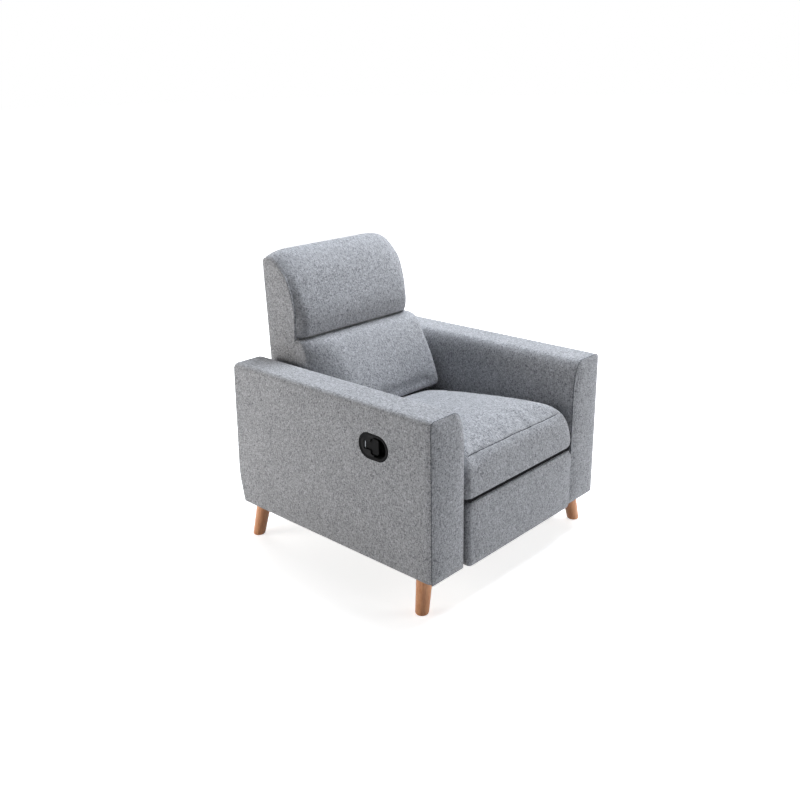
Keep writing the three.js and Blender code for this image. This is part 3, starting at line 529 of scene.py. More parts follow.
def make_grained(name, colour, edge, roughness, metallic, grain_scale, grain_height, gloss=0.5):
    """Moulded, coated or drawn material: one colour, lighter where it wears, with a fine grain."""
    made, work, shader, place = material(name)
    grain = work.noise(place["Object"], grain_scale, 2.0, 0.5)
    smears = work.noise(place["Object"], 30.0, 3.0, 0.6)
    geometry = work.add("ShaderNodeNewGeometry")
    worn = work.spread(geometry.outputs["Pointiness"], 0.51, 0.6)
    worn = work.maths("MULTIPLY", worn, work.spread(smears, 0.4, 0.65), clamp=True)
    tone = work.mix(worn, plain(colour), plain(edge))
    rough = work.spread(smears, 0.3, 0.7, roughness - 0.06, roughness + 0.08)
    work.surface(shader, tone, rough, Metallic=metallic, Specular_IOR_Level=gloss)
    work.relief(shader, grain, 0.25, grain_height)
    return made


def make_foam(name):
    """Cream open-cell foam with round pores, whose hollows are coloured darker as painted shade."""
    made, work, shader, place = material(name)
    cells = work.add("ShaderNodeTexVoronoi")
    cells.inputs["Scale"].default_value = 700.0
    work.link(place["Object"], cells.inputs["Vector"])
    depth = work.spread(cells.outputs["Distance"], 0.1, 0.6)
    # painted shade: the colour darkens in the pore hollows, where the relief sinks
    work.surface(shader, work.mix(depth, plain((196, 184, 150)), plain((232, 224, 204))), 0.95)
    work.relief(shader, depth, 0.5, 0.6 * MM)
    return made


HEATHER = make_heather(make_weave_plane())
UPHOLSTERY = make_fabric("upholstery", (104, 105, 108), (208, 209, 213))
# seam threads: real thread, but coloured darker than the cloth partly as painted shade of the seam
# grooves
THREAD_AND_SHADE = make_fabric("seam_thread_and_shade", (52, 54, 58), (78, 80, 84), fuzz=0.0)
PANEL_THREAD_AND_SHADE = make_fabric("panel_thread_and_shade", (70, 72, 76), (98, 100, 104), fuzz=0.0)
# black cloth: lining under the back, and painted shade in the gap over the footrest
LINING_AND_PAINTED_SHADE = make_fabric("black_lining_and_painted_shade", (14, 14, 15), (30, 30, 32), fuzz=0.0)
LEG_WOOD = make_wood("leg_wood", (198, 120, 72), (246, 182, 130), roughness=0.42, coat=0.2)
TIMBER = make_wood("frame_timber", (176, 142, 96), (218, 190, 146), roughness=0.75)
BLACK_STEEL = make_grained(
    "black_steel", (26, 27, 29), (70, 72, 75),
    roughness=0.45, metallic=0.3, grain_scale=1400.0, grain_height=0.2 * MM,
)
SPRINGS = make_grained(
    "spring_steel", (120, 122, 126), (170, 172, 176),
    roughness=0.35, metallic=0.9, grain_scale=900.0, grain_height=0.05 * MM,
)
PLASTIC = make_grained(
    "black_plastic", (40, 40, 41), (56, 56, 57),
    roughness=0.66, metallic=0.0, grain_scale=1800.0, grain_height=0.12 * MM, gloss=0.03,
)
MATERIALS = {
    "upholstery": UPHOLSTERY,
    "foam": make_foam("foam"),
    "leg_wood": LEG_WOOD,
    "frame_timber": TIMBER,
    "black_steel": BLACK_STEEL,
    "spring_steel": SPRINGS,
    "black_plastic": PLASTIC,
}


# ---------------------------------------------------------------- arms
REAR_KINK = 0.102  # height of the kink in the rear end above the underside
REAR_TUCK = 0.0184  # the bottom corner's place in front of the kink
REAR_LEAN = 0.044  # forward lean above the kink
REAR_KINK_RADIUS = 2.5 * MM
SEAM_BACK = 2 * MM  # from the arm's front plane to the seam
SEAM_DEPTH = 5 * MM
SEAM_REACH = 26 * MM
SPINE = 0.2 * MM  # half the width of the line on which an arm's end closes
PANEL_INSET = 1.6 * MM
PANEL_EDGE = 1.6 * MM
PANEL_CROWN = 9 * MM  # how far the front panel swells forward
PANEL_FULLNESS = 3.3  # the power of the crown's curve: higher is flatter in the middle
OUTER_TOP_RADIUS = 16 * MM
INNER_TOP_RADII = (42 * MM, 110 * MM)  # a long soft curve down the inner side
ARM_FOOT_RADIUS = 6 * MM
REAR_TOP_RADIUS = 18 * MM
REAR_SIDE_RADIUS = 12 * MM
RING_STEPS = (14, 46, 9)
ARM_SWELL = 2.0  # in millimetres
ARM_WAVES = 0.9
INNER_HOLD = 0.5  # share of the swell that the inner side lacks, beside the seat


def arm_ring(low_x, high_x, low_z, high_z, inset, top_extra, depth):
    """One cross-section of an arm, drawn in by inset on each side and by more at the top."""
    inner = np.maximum(np.array(INNER_TOP_RADII) - inset, 1 * MM)
    outer = max(OUTER_TOP_RADIUS - inset, 1 * MM)
    right, left = (inner, outer) if low_x > 0 else (outer, inner)
    foot = max(ARM_FOOT_RADIUS - inset, 1 * MM)
    low = (low_x + inset, low_z + inset)
    high = (high_x - inset, high_z - inset - top_extra)
    ring = rectangle_ring(low, high, (foot, foot, left, right), RING_STEPS)
    return np.stack([ring[:, 0], np.full(len(ring), depth), ring[:, 1]], -1)


def quarter(share, depth):
    """Inset along a rounded edge: depth * max(1 - sqrt(1 - rest), rest), rest = (1 - share)^2."""
    rest = (1 - share) ** 2
    return depth * np.maximum(1 - np.sqrt(np.maximum(0, 1 - rest)), rest)


def arm_cover(side, sign):
    """Outer side, inner side, top and rear end of an arm in one cover, drawn in at the front seam.

    The rear end is two slopes that meet at the kink, y = end - r ln(exp(a / r) + exp(b / r)), where
    a and b are how far each slope lies in front of the end and r rounds the kink. Each side swells
    as (1 - along^6)(1 - height^6), -1 to 1 across it, with slow waves.
    """
    low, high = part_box(f"arm_{side}_front_pad")
    rear_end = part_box(f"arm_{side}_rear_pad")[1].y
    front = low.y + SEAM_BACK
    limits = (low.x, high.x, low.z, high.z)
    half = 0.5 * (high.x - low.x)
    rings = []
    for inset in np.linspace(half - SPINE, SEAM_DEPTH + 3 * MM, 9):
        rings.append(arm_ring(*limits, inset, 0, front + 2 * MM))
    for share in np.linspace(0, 1, 12):
        inset = quarter(share, SEAM_DEPTH)
        rings.append(arm_ring(*limits, inset, -0.5 * inset, front + SEAM_REACH * share))
    for depth in np.linspace(front + SEAM_REACH, rear_end - REAR_TOP_RADIUS, 84)[1:-1]:
        rings.append(arm_ring(*limits, 0, 0, depth))
    for share in np.sin(np.linspace(0, 0.5 * np.pi, 12)):
        depth = rear_end - REAR_TOP_RADIUS * (1 - share)
        top = REAR_TOP_RADIUS * (1 - math.sqrt(1 - share**2))
        within = max(0.0, 1 - (rear_end - depth) / REAR_SIDE_RADIUS)
        sides = REAR_SIDE_RADIUS * (1 - math.sqrt(1 - within**2))
        rings.append(arm_ring(*limits, sides, top - sides, depth))
    for inset in np.linspace(REAR_SIDE_RADIUS, half - SPINE, 8)[1:]:
        rings.append(arm_ring(*limits, inset, REAR_TOP_RADIUS - REAR_SIDE_RADIUS, rear_end))
    rings = np.array(rings)
    kink = low.z + REAR_KINK
    above = rear_end - REAR_LEAN * (rings[..., 2] - kink)
    below = rear_end - REAR_TUCK / REAR_KINK * (kink - rings[..., 2])
    soft = REAR_KINK_RADIUS
    slopes = np.exp((rear_end - above) / soft) + np.exp((rear_end - below) / soft)
    rear = rear_end - soft * np.log(slopes)
    rings[..., 1] = front + (rings[..., 1] - front) * (rear - front) / (rear_end - front)
    obj = ring_mesh(f"arm_cover_{side}", rings, UPHOLSTERY)
    points = coordinates(obj.data)
    along = (points[:, 1] - front) / (rear_end - front)
    height = (points[:, 2] - low.z) / (high.z - low.z)
    full = (1 - (2 * along - 1) ** 6) * (1 - (2 * height - 1) ** 6)
    swell = np.clip(full, 0, 1) * (ARM_SWELL + ARM_WAVES * waves(points, 0.16, 11 + sign)) * MM
    facing = normals(obj.data)
    inner = np.maximum(0, -sign * facing[:, 0])
    points += facing * (swell * (1 - INNER_HOLD * inner) * rise(along, 0.0, 0.04))[:, None]
    set_coordinates(obj.data, points)
    return obj


def arm_front(side):
    """The front panel of an arm: a rounded edge, a face crowned as 1 - (way to the edge)^3.3."""
    low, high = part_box(f"arm_{side}_front_pad")
    seam = low.y + SEAM_BACK
    limits = (low.x, high.x, low.z, high.z)
    half = 0.5 * (high.x - low.x)
    rings = []
    for inset in np.linspace(half - SPINE, PANEL_INSET + 2 * MM, 6):
        rings.append(arm_ring(*limits, inset, 0, seam + 1.4 * MM))
    rings.append(arm_ring(*limits, PANEL_INSET, -0.5 * PANEL_INSET, seam + 1.2 * MM))
    for across, out in quarter_steps(8):
        inset = PANEL_INSET + PANEL_EDGE * across
        rings.append(arm_ring(*limits, inset, -0.5 * PANEL_INSET, low.y + PANEL_EDGE * out))
    start = PANEL_INSET + PANEL_EDGE
    for inset in np.linspace(start, half - SPINE, 22)[1:]:
        crown = PANEL_CROWN * (1 - ((half - inset) / (half - start)) ** PANEL_FULLNESS)
        rings.append(arm_ring(*limits, inset, -0.5 * PANEL_INSET, low.y - crown))
    return ring_mesh(f"arm_front_{side}", np.array(rings), UPHOLSTERY)


def arm_seam(side):
    """The thread between an arm's cover and its front panel, round the panel; its dark colour is
    partly painted shade of the seam.
    """
    low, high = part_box(f"arm_{side}_front_pad")
    inset = PANEL_INSET - 0.2 * MM
    ring = arm_ring(low.x, high.x, low.z, high.z, inset, -0.5 * inset, low.y + SEAM_BACK)
    closed = np.vstack([ring, ring[:1]])
    return tube(f"arm_seam_{side}", closed, 0.8 * MM, PANEL_THREAD_AND_SHADE, 6)


def build_arms():
    """Both arms, each a cover, a front panel and a seam; the right one opens for the handle."""
    for side, sign in SIDES:
        cover = arm_cover(side, sign)
        if sign < 0:
            cut_pocket(cover)
        replaced = [f"arm_{side}_{part}_pad" for part in ("outer", "inner", "top", "rear")]
        own_pad(cover, "base", 0.9, *replaced)
        own_pad(arm_front(side), "base", 0.9, f"arm_{side}_front_pad")
        own(arm_seam(side), "base", "upholstery")


# ---------------------------------------------------------------- release handle
CUP_LENGTH = 117 * MM
CUP_HEIGHT = 82 * MM
CUP_RIM = 6 * MM
CUP_WALL = 3.5 * MM


def stadium_ring(centre, grow, x, count):
    """An upright slot shape, rounded front and rear: two half circles, grown by a length."""
    radius = max(CUP_HEIGHT / 2 + grow, 0.0)
    half = (CUP_LENGTH - CUP_HEIGHT) / 2
    turn = np.linspace(0, 2 * np.pi, count, endpoint=False)
    y = centre[0] + radius * np.cos(turn) + half * np.sign(np.round(np.cos(turn), 9))
    z = centre[1] + radius * np.sin(turn)
    return np.stack([np.full(count, x), y, z], -1)


def slot_piece(name, centre, section, count=96, finish=PLASTIC):
    """A closed piece whose section is steps (growth of the slot, x)."""
    return ring_mesh(name, [stadium_ring(centre, grow, x, count) for grow, x in section], finish)


def cup_centre():
    """The cup's centre in (y, z), the x of its face and the x of its back."""
    low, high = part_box("handle_cup")
    return (0.5 * (low.y + high.y), 0.5 * (low.z + high.z)), low.x, high.x


def cut_pocket(cover):
    """Opens the outer side of the arm for the cup."""
    centre, face, back = cup_centre()
    side = -CUP_RIM + 0.2 * MM
    start, end = face - 10 * MM, back + 2 * MM
    steps = [(-CUP_HEIGHT / 2, start), (side, start), (side, end), (-CUP_HEIGHT / 2, end)]
    cut_out(cover, slot_piece("pocket", centre, steps, 64, UPHOLSTERY))


def build_handle():
    """The moulded cup with a raised rim, the plate in it and the T-shaped paddle.

    The cup's section runs from the back round the rim and down the inside.
    """
    centre, face, back = cup_centre()
    flange = face + 3 * MM
    wall, floor = -CUP_RIM - CUP_WALL, back - CUP_WALL
    section = [
        (-CUP_HEIGHT / 2, back), (-CUP_RIM - 1.5 * MM, back), (-CUP_RIM, back - 1.5 * MM),
        (-CUP_RIM, flange), (-0.6 * MM, flange), (0, flange - 0.5 * MM), (0, face + 1.2 * MM),
        (-0.4 * MM, face + 0.35 * MM), (-1.2 * MM, face - 0.1 * MM), (-2.6 * MM, face - 0.35 * MM),
        (-5 * MM, face - 0.35 * MM), (-7 * MM, face), (-8.4 * MM, face + 0.7 * MM),
        (wall, face + 2.2 * MM), (wall - 0.8 * MM, face + 12 * MM), (wall - 2 * MM, floor - 5 * MM),
        (wall - 3.4 * MM, floor - 2 * MM), (wall - 6.5 * MM, floor), (-25 * MM, floor),
        (-CUP_HEIGHT / 2, floor),
    ]
    cup = slot_piece("release_cup", centre, section)
    subdivide(cup)
    own(cup, "base", "black_plastic", "handle_cup")
    build_cup_plate(centre, face)
    build_paddle(centre)


PADDLE_X = -416.3 * MM
PADDLE_SHAPE = [(36, 11), (12.5, 11), (10, 13.5), (9, 20), (4.5, 24), (-13.5, 24), (-18, 19.5)]


def paddle_outline(grow, count=160):
    """The T shape round the cup's centre, a narrow tab behind a wide blade, with softened corners.

    Returned as (y, z) points at even steps, moved outwards by grow.
    """
    upper = np.array(PADDLE_SHAPE) * MM
    lower = upper[::-1] * (1, -1)
    shape = np.vstack([upper, lower])
    closed = np.vstack([shape, shape[:1]])
    length = way_along(closed)
    even = np.linspace(0, length[-1], count, endpoint=False)
    points = np.stack([np.interp(even, length, closed[:, axis]) for axis in (0, 1)], -1)
    for step in range(3):
        points = (np.roll(points, 1, 0) + 2 * points + np.roll(points, -1, 0)) / 4
    ahead = headings(points)
    out = np.stack([-ahead[:, 1], ahead[:, 0]], -1)
    middle = points.mean(0)
    if ((points - middle) * out).sum() < 0:
        out = -out
    return points + out * grow


def slab(name, outline, stations, centre):
    """A closed plate: the outline at stations (share, x), drawn to its middle line by the share."""
    rings = []
    for shrink, x in stations:
        y, z = (outline + (outline * (1, 0) - outline) * shrink).T
        rings.append(np.stack([np.full(len(y), x), centre[0] + y, centre[1] + z], -1))
    return ring_mesh(name, rings, PLASTIC)


def build_cup_plate(centre, face):
    """The plate that closes the cup's rear round the paddle's tab; the finger space stays open."""
    top = face + 1.4 * MM
    under = top + 3 * MM
    start, end = top - 10 * MM, under + 10 * MM
    edge = -CUP_RIM - 3 * MM
    outer = [(-CUP_HEIGHT / 2, under), (edge, under), (edge, top), (-CUP_HEIGHT / 2, top)]
    plate = slot_piece("cup_plate", centre, outer)
    hole = paddle_outline(1.6 * MM)
    knife = slab("plate_hole", hole, [(1, start), (0, start), (0, end), (1, end)], centre)
    ahead = (centre[0] - 4 * MM, centre[1])
    bay = [stadium_ring(ahead, -CUP_RIM - 4.4 * MM, x, 64) for x in (start, end)]
    for ring in bay:
        ring[:, 1] = np.minimum(ring[:, 1], centre[0] - 2 * MM)
    flat = [np.repeat(ring.mean(0)[None], len(ring), 0) for ring in bay]
    space = ring_mesh("finger_space", [flat[0], bay[0], bay[1], flat[1]], PLASTIC)
    cut_out(plate, knife, space)
    plate.data.polygons.foreach_set("use_smooth", np.zeros(len(plate.data.polygons), bool))
    own(plate, "base", "black_plastic")


def build_paddle(centre):
    """The paddle: bevelled edges and a shallow hollow in the blade for the fingers."""
    outline = paddle_outline(0.0)
    half = 2 * MM
    stations = [(1, half), (0.5, half), (0.1, half), (0.03, half - 0.3 * MM), (0, half - 0.9 * MM)]
    stations += [(0, -half + 1.2 * MM), (0.025, -half + 0.4 * MM), (0.07, -half), (0.12, -half)]
    stations += [(0.2, -half + 0.7 * MM), (0.5, -half + 1.0 * MM), (1, -half + 1.1 * MM)]
    stations = [(shrink, PADDLE_X + x) for shrink, x in stations]
    paddle = slab("pull_paddle", outline, stations, centre)
    own(paddle, "release_handle", "black_plastic", "release_paddle")


# ---------------------------------------------------------------- cushions
CLOTH_FRAMES = 20
THREAD_RADIUS = 0.85 * MM
PUCKERS = (0.013, 0.019, 0.031, 0.047)  # lengths of the small folds beside a seam


def even_mesh(obj, voxel, smoothing):
    """An even mesh over a closed shell, its corners eased."""
    remesh = obj.modifiers.new("even", "REMESH")
    remesh.mode = "VOXEL"
    remesh.voxel_size = voxel
    soften = obj.modifiers.new("eased", "SMOOTH")
    soften.factor = 0.5
    soften.iterations = smoothing
    bake(obj)
    obj.data.materials.clear()
    obj.data.materials.append(UPHOLSTERY)


def even_out(mesh, values, rounds):
    """Each point's value, drawn half-way to its neighbours' mean value a number of rounds."""
    ends = np.empty(len(mesh.edges) * 2, np.int32)
    mesh.edges.foreach_get("vertices", ends)
    one, other = ends.reshape(-1, 2).T
    count = np.maximum(np.bincount(ends, minlength=len(values)), 1)[:, None]
    for step in range(rounds):
        total = np.empty_like(values)
        for axis in range(values.shape[1]):
            total[:, axis] = np.bincount(one, values[other, axis], len(values))
            total[:, axis] += np.bincount(other, values[one, axis], len(values))
        values = 0.5 * (values + total / count)
    return values


def inflate(obj, shrink, cap, share, rounds):
    """Swells a closed cover like stuffing.

    The cover starts smaller by shrink and is cloth under inner pressure. A point that moved by size
    is shifted by cap * tanh(size / cap), times share(points), 0 to 1, its part in the swelling. The
    shift is evened out in some rounds.
    """
    mesh = obj.data
    whole = coordinates(mesh)
    part = share(whole)[:, None]
    start = whole - normals(mesh) * shrink * part
    set_coordinates(mesh, start)
    cloth = obj.modifiers.new("stuffing", "CLOTH")
    settings = cloth.settings
    settings.quality = 5
    settings.mass = 0.3
    settings.tension_stiffness = 15
    settings.compression_stiffness = 15
    settings.shear_stiffness = 5
    settings.bending_stiffness = 0.5
    settings.use_pressure = True
    settings.uniform_pressure_force = 4.0
    settings.effector_weights.gravity = 0
    cloth.point_cache.frame_end = CLOTH_FRAMES
    for step in range(1, CLOTH_FRAMES + 1):
        bpy.context.scene.frame_set(step)
    graph = bpy.context.evaluated_depsgraph_get()
    swollen = obj.evaluated_get(graph)
    moved = coordinates(swollen.to_mesh())
    swollen.to_mesh_clear()
    obj.modifiers.clear()
    bpy.context.scene.frame_set(1)
    step = moved - start
    size = np.linalg.norm(step, axis=1)[:, None]
    step *= cap * np.tanh(size / cap) / np.maximum(size, 1e-9)
    set_coordinates(mesh, whole + even_out(mesh, start + step * part - whole, rounds))


def stuff(obj, voxel, smoothing, shrink, cap, share, rounds=3):
    """Makes a closed cover a stuffed cushion: an even mesh, swollen, smoothed and made finer."""
    even_mesh(obj, voxel, smoothing)
    inflate(obj, shrink, cap, share, rounds)
    soften = obj.modifiers.new("even out", "SMOOTH")
    soften.factor = 0.5
    soften.iterations = 2
    subdivide(obj)


def on_surface(obj, points):
    """The nearest places on a piece's surface to some points, and the ways out of it there."""
    places, ways = [], []
    for point in points:
        _, place, way, _ = obj.closest_point_on_mesh(Vector(point))
        places.append(place)
        ways.append(way)
    return np.array(places, float), np.array(ways, float)


def distance_along(points, path):
    """For each point: its distance to the nearest of the path's points, and that one's index."""
    near = np.full(len(points), 1e9)
    index = np.zeros(len(points), int)
    for start in range(0, len(points), 4000):
        part = points[start : start + 4000]
        apart = np.linalg.norm(part[:, None] - path[None], axis=2)
        near[start : start + 4000] = apart.min(1)
        index[start : start + 4000] = apart.argmin(1)
    return near, index


def sew(obj, name, guide, body, depth, width, pucker, seed):
    """Sews a seam along a guide: a groove, small puckers beside it and dark thread in it, its
    darkness partly painted shade of the groove.

    The groove is depth * exp(-(distance / width)^2) deep. The puckers are sine waves along the
    seam, most about 2 widths beside it, and gone 7 widths away.
    """
    path, ways = on_surface(obj, smooth_path(guide, 260))
    for step in range(300):
        path[1:-1] = 0.25 * path[:-2] + 0.5 * path[1:-1] + 0.25 * path[2:]
    mesh = obj.data
    points = coordinates(mesh)
    reach = 7 * width
    low, high = path.min(0) - reach, path.max(0) + reach
    chosen = np.flatnonzero(np.all((points > low) & (points < high), axis=1))
    near, index = distance_along(points[chosen], path)
    along = way_along(path)[index]
    rng = np.random.RandomState(seed)
    gathers = np.zeros(len(chosen))
    for length in PUCKERS:
        gathers += np.sin(2 * np.pi * along / length + rng.uniform(0, 6.28))
    patchy = 0.5 + 0.5 * np.sin(2 * np.pi * along / 0.17 + rng.uniform(0, 6.28))
    beside = np.exp(-((near / (2.6 * width)) ** 2)) - np.exp(-((near / (1.1 * width)) ** 2))
    groove = depth * np.exp(-((near / width) ** 2))
    drop = groove + pucker * beside * gathers * (0.3 + 0.7 * patchy) * 0.5
    points[chosen] -= normals(mesh)[chosen] * drop[:, None]
    set_coordinates(mesh, points)
    thread = tube(name, path - ways * (depth - 0.5 * MM), THREAD_RADIUS, THREAD_AND_SHADE, 6)
    own(thread, body, "upholstery")


# ---------------------------------------------------------------- seat
SEAT_SLOPE = 0.128  # fall of the cushion, run to the rear
SEAT_LIFT = 9.5 * MM  # the cushion's lower front edge over its board
SEAT_SIDE = 0.06  # the upright part of the edge
SEAT_ROUND = (0.08, 0.09)  # the rounded part above it, in and up
SEAT_TOP = SEAT_SIDE + SEAT_ROUND[1]
SEAT_SPINE = 0.2712  # inset of the line on which top and underside close
SEAT_FOOT_RADIUS = 6 * MM
SEAT_DOME = 36 * MM
SEAT_SEAM = 19  # the step of the profile, from the underside up, that carries the seam
SEAT_NEAR_CORNER = 0.022  # radius of the front corner at the sitter's right
SEAT_FAR_CORNER = (0.034, 0.044)  # at the sitter's left, low and higher up
SEAT_REAR_CORNER = 0.05
SEAT_CORNER_RISE = 15 * MM  # how far the lower corner at the sitter's left is rounded up


def seat_height(x, y, low, high):
    """Rise of the domed top: SEAT_DOME * (1 - |u|^2.2) * (1 - |v|^2.6), u and v -1 to 1 across."""
    u = x / high.x
    v = (y - 0.5 * (low.y + high.y)) / (0.5 * (high.y - low.y))
    return SEAT_DOME * (1 - np.abs(u) ** 2.2) * (1 - np.abs(v) ** 2.6)


def build_seat():
    """The seat cushion: rings from the underside round the edge to the domed top, and a seam."""
    low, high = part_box("seat_cushion")
    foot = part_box("seat_front_board")[1].z
    profile = [(inset, 0.0) for inset in (SEAT_SPINE, 0.2, 0.12, 0.06, SEAT_FOOT_RADIUS)]
    for turn in np.linspace(0.15, 1, 6) * 0.5 * np.pi:
        level = SEAT_FOOT_RADIUS * (1 - math.cos(turn))
        profile.append((SEAT_FOOT_RADIUS * (1 - math.sin(turn)), level))
    profile += [(0.0, 0.5 * SEAT_SIDE), (0.0, SEAT_SIDE)]
    for turn in np.linspace(0, 1, 12)[1:] * 0.5 * np.pi:
        level = SEAT_SIDE + SEAT_ROUND[1] * math.sin(turn)
        profile.append((SEAT_ROUND[0] * (1 - math.cos(turn)), level))
    profile += [(inset, SEAT_TOP) for inset in np.linspace(SEAT_ROUND[0], SEAT_SPINE, 16)[1:]]
    rings = []
    for inset, level in profile:
        low_radius, high_radius = SEAT_FAR_CORNER
        far = low_radius + (high_radius - low_radius) * rise(level, 0.03, 0.1)
        near = max(SEAT_NEAR_CORNER - 0.2 * inset, 2 * MM)
        far = max(far - 0.4 * inset, 2 * MM)
        rear = max(SEAT_REAR_CORNER - inset, 2 * MM)
        wide = high.x + 4 * MM - inset
        start, end = (1.4 * MM - wide, low.y + inset), (wide, high.y - inset)
        rim = rectangle_ring(start, end, (near, far, rear, rear), (40, 48, 12))
        z = foot + SEAT_LIFT - SEAT_SLOPE * (rim[:, 1] - low.y) + level
        z += rise(level, SEAT_SIDE, SEAT_TOP) * seat_height(rim[:, 0], rim[:, 1], low, high)
        to_corner = rise(rim[:, 0], high.x - 0.045, high.x + 0.004) ** 2
        z += SEAT_CORNER_RISE * to_corner * max(0.0, 1 - level / SEAT_SIDE)
        rings.append(np.stack([rim[:, 0], rim[:, 1], z], -1))
    seat = ring_mesh("seat_cover", rings, UPHOLSTERY)

    def share(p):
        """Free on top, less at the sides and under the back, held below."""
        top = rise(p[:, 2] + SEAT_SLOPE * (p[:, 1] - low.y), foot + 0.03, foot + 0.09)
        front = 1 - 0.8 * rise(p[:, 1], 0.0, 0.15)
        return top * front * (0.35 + 0.65 * rise(0.275 - np.abs(p[:, 0]), 0, 0.06))

    stuff(seat, 6 * MM, 2, 9 * MM, 16 * MM, share, 10)
    inset, level = profile[SEAT_SEAM]
    guide = []
    half = high.x - inset + 2 * MM
    for x in np.linspace(-half - 6 * MM, half + 7 * MM, 25):
        arch = 2 * MM * (1 - (x / half) ** 2) - 3 * MM * (1 + x / half)
        guide.append((x, low.y + inset * 0.55, foot + SEAT_LIFT + level + arch))
    sew(seat, "seat_seam", guide, "seat_carriage", 1.6 * MM, 3.4 * MM, 0.35 * MM, 5)
    own_pad(seat, "seat_carriage", 0.75, "seat_cushion")


# ---------------------------------------------------------------- back
BACK_LEAN = math.radians(1.78)
BACK_REAR = 0.40635  # rear face at the bottom edge
BACK_BOTTOM = 0.262
BACK_HALF = 0.265
BOXING = 14 * MM  # thickness of the boxed sides
REAR_PANEL_HEIGHT = 0.672
CREASE = 0.412
HEAD_RECESS = 4 * MM  # how far the head's ends start behind the front edges of the boxed sides
REAR_PROUD = 6 * MM  # how far the covers stand behind the back's rear face

# Side views, as knots (forward of the rear face, above the crease) in millimetres.
CREST = [(12, 262), (40, 258), (84, 226), (112, 184), (130, 118), (134, 72), (127, 0)]
HEAD = [(12, 279), (38, 281), (72, 267), (111, 214), (140, 148)]
HEAD += [(160, 88), (165, 43), (157, 11), (134, 0)]
LUMBAR = [(150, 0), (192, -13), (226, -58), (277, -150), (304, -227), (300, -246)]

# The head's hollow round the posts, the top rail and the outside panel, in metres (forward of the
# rear face, above the bottom edge), from the crease up.
HEAD_HOLLOW = [(0.1256, CREASE - 2 * MM), (0.1256, 0.5603), (0.0529, 0.5603), (0.0529, 0.6003)]
HEAD_HOLLOW += [(0.0126, 0.6003), (0.0126, 0.6786), (-0.005, 0.6786)]
LUMBAR_UNDER = [(0.232, CREASE - 0.262), (0.128, CREASE - 0.279)]
LUMBAR_REAR = 0.1278
LUMBAR_ENDS = ((0.8, 38 * MM, 1.9), (0.45, 120 * MM, 2.0))  # left and right: fullness, reach, power


def in_back(x, depth, height):
    """Places of the back's points: across, forward of its rear face, above its bottom edge."""
    x, depth, height = np.broadcast_arrays(x, depth, height)
    y = BACK_REAR - depth * math.cos(BACK_LEAN) + height * math.sin(BACK_LEAN)
    z = BACK_BOTTOM + depth * math.sin(BACK_LEAN) + height * math.cos(BACK_LEAN)
    return np.stack([x, y, z], -1)


def side_curve(knots, count):
    """A smooth side view through knots, as depths and heights in metres."""
    curve = smooth_path(np.array(knots, float) * MM, count)
    curve[:, 1] += CREASE
    return curve


def between(start, end, count):
    """Points from start up to but without end."""
    return np.linspace(start, end, count, endpoint=False)


def half_loft(middle, end, half, reach, power):
    """Rings from an end to the middle of a bolster: the end outline changes to the middle outline.

    The change follows 1 - (1 - t)^power with t = way in / reach. Both may differ round the outline.
    """
    reach = np.broadcast_to(reach, len(end))
    power = np.broadcast_to(power, len(end))[:, None]
    way_in = half * np.linspace(0, 1, 44) ** 2
    centre = end.mean(0)
    rings = [in_back(half, *np.repeat(centre[:, None], len(end), 1))]
    for inward in way_in:
        t = np.clip(inward / reach, 0, 1)[:, None]
        outline = end + (middle - end) * (1 - (1 - t) ** power)
        rings.append(in_back(half - inward, outline[:, 0], outline[:, 1]))
    return rings


def loft(name, left, right):
    """A bolster from the rings of its left half and of its right half, which is turned over."""
    turned = [ring * (-1, 1, 1) for ring in right[-2::-1]]
    return ring_mesh(name, np.array(left + turned), UPHOLSTERY)


def build_head():
    """The head cushion: a front that rolls over the crest, the ends tucked in beside the boxing."""
    front = side_curve(HEAD, 90)
    crest = side_curve(CREST, 90)
    recess = HEAD_RECESS * rise(0.66 - crest[:, 1], 0.0, 0.12)
    crest[:, 0] -= recess
    crest[:, 1] -= 0.5 * MM + 0.3 * recess
    crest[:, 1] = np.maximum(crest[:, 1], CREASE - 2 * MM)
    front[-1, 1] -= 2 * MM
    rim = []
    for start, end in zip(HEAD_HOLLOW, HEAD_HOLLOW[1:]):
        rim.append(between(np.array(start), np.array(end), 6))
    rear_top = between(np.array(HEAD_HOLLOW[-1]), front[0], 5)
    end_top = between(np.array([1 * MM, crest[0, 1] - 4 * MM]), crest[0], 5)
    middle = np.concatenate([*rim, rear_top, front])
    end = np.concatenate([*rim, end_top, crest])
    below_top = end[: len(middle) - len(front) - 5]  # the hollow, kept inside the end's outline
    below_top[:, 0] = np.maximum(below_top[:, 0], 1 * MM)
    below_top[:, 1] = np.minimum(below_top[:, 1], crest[0, 1] - 5 * MM)
    over = rise(end[:, 1], CREASE + 0.16, CREASE + 0.26)
    rings = half_loft(middle, end, BACK_HALF - 1.5 * MM, (42 + 58 * over) * MM, 2.0 + 0.8 * over)
    head = loft("head_cover", rings, rings)

    def share(p):
        """Free in front, held at the ends, at the crease and behind."""
        free = rise(BACK_HALF - np.abs(p[:, 0]), 0.03, 0.09) * (1 - rise(p[:, 1], 0.33, 0.39))
        return free * rise(p[:, 2], BACK_BOTTOM + CREASE + 0.015, BACK_BOTTOM + CREASE + 0.06)

    stuff(head, 5 * MM, 1, 6 * MM, 9 * MM, share)
    own_pad(head, "back", 0.8, "head_cushion")


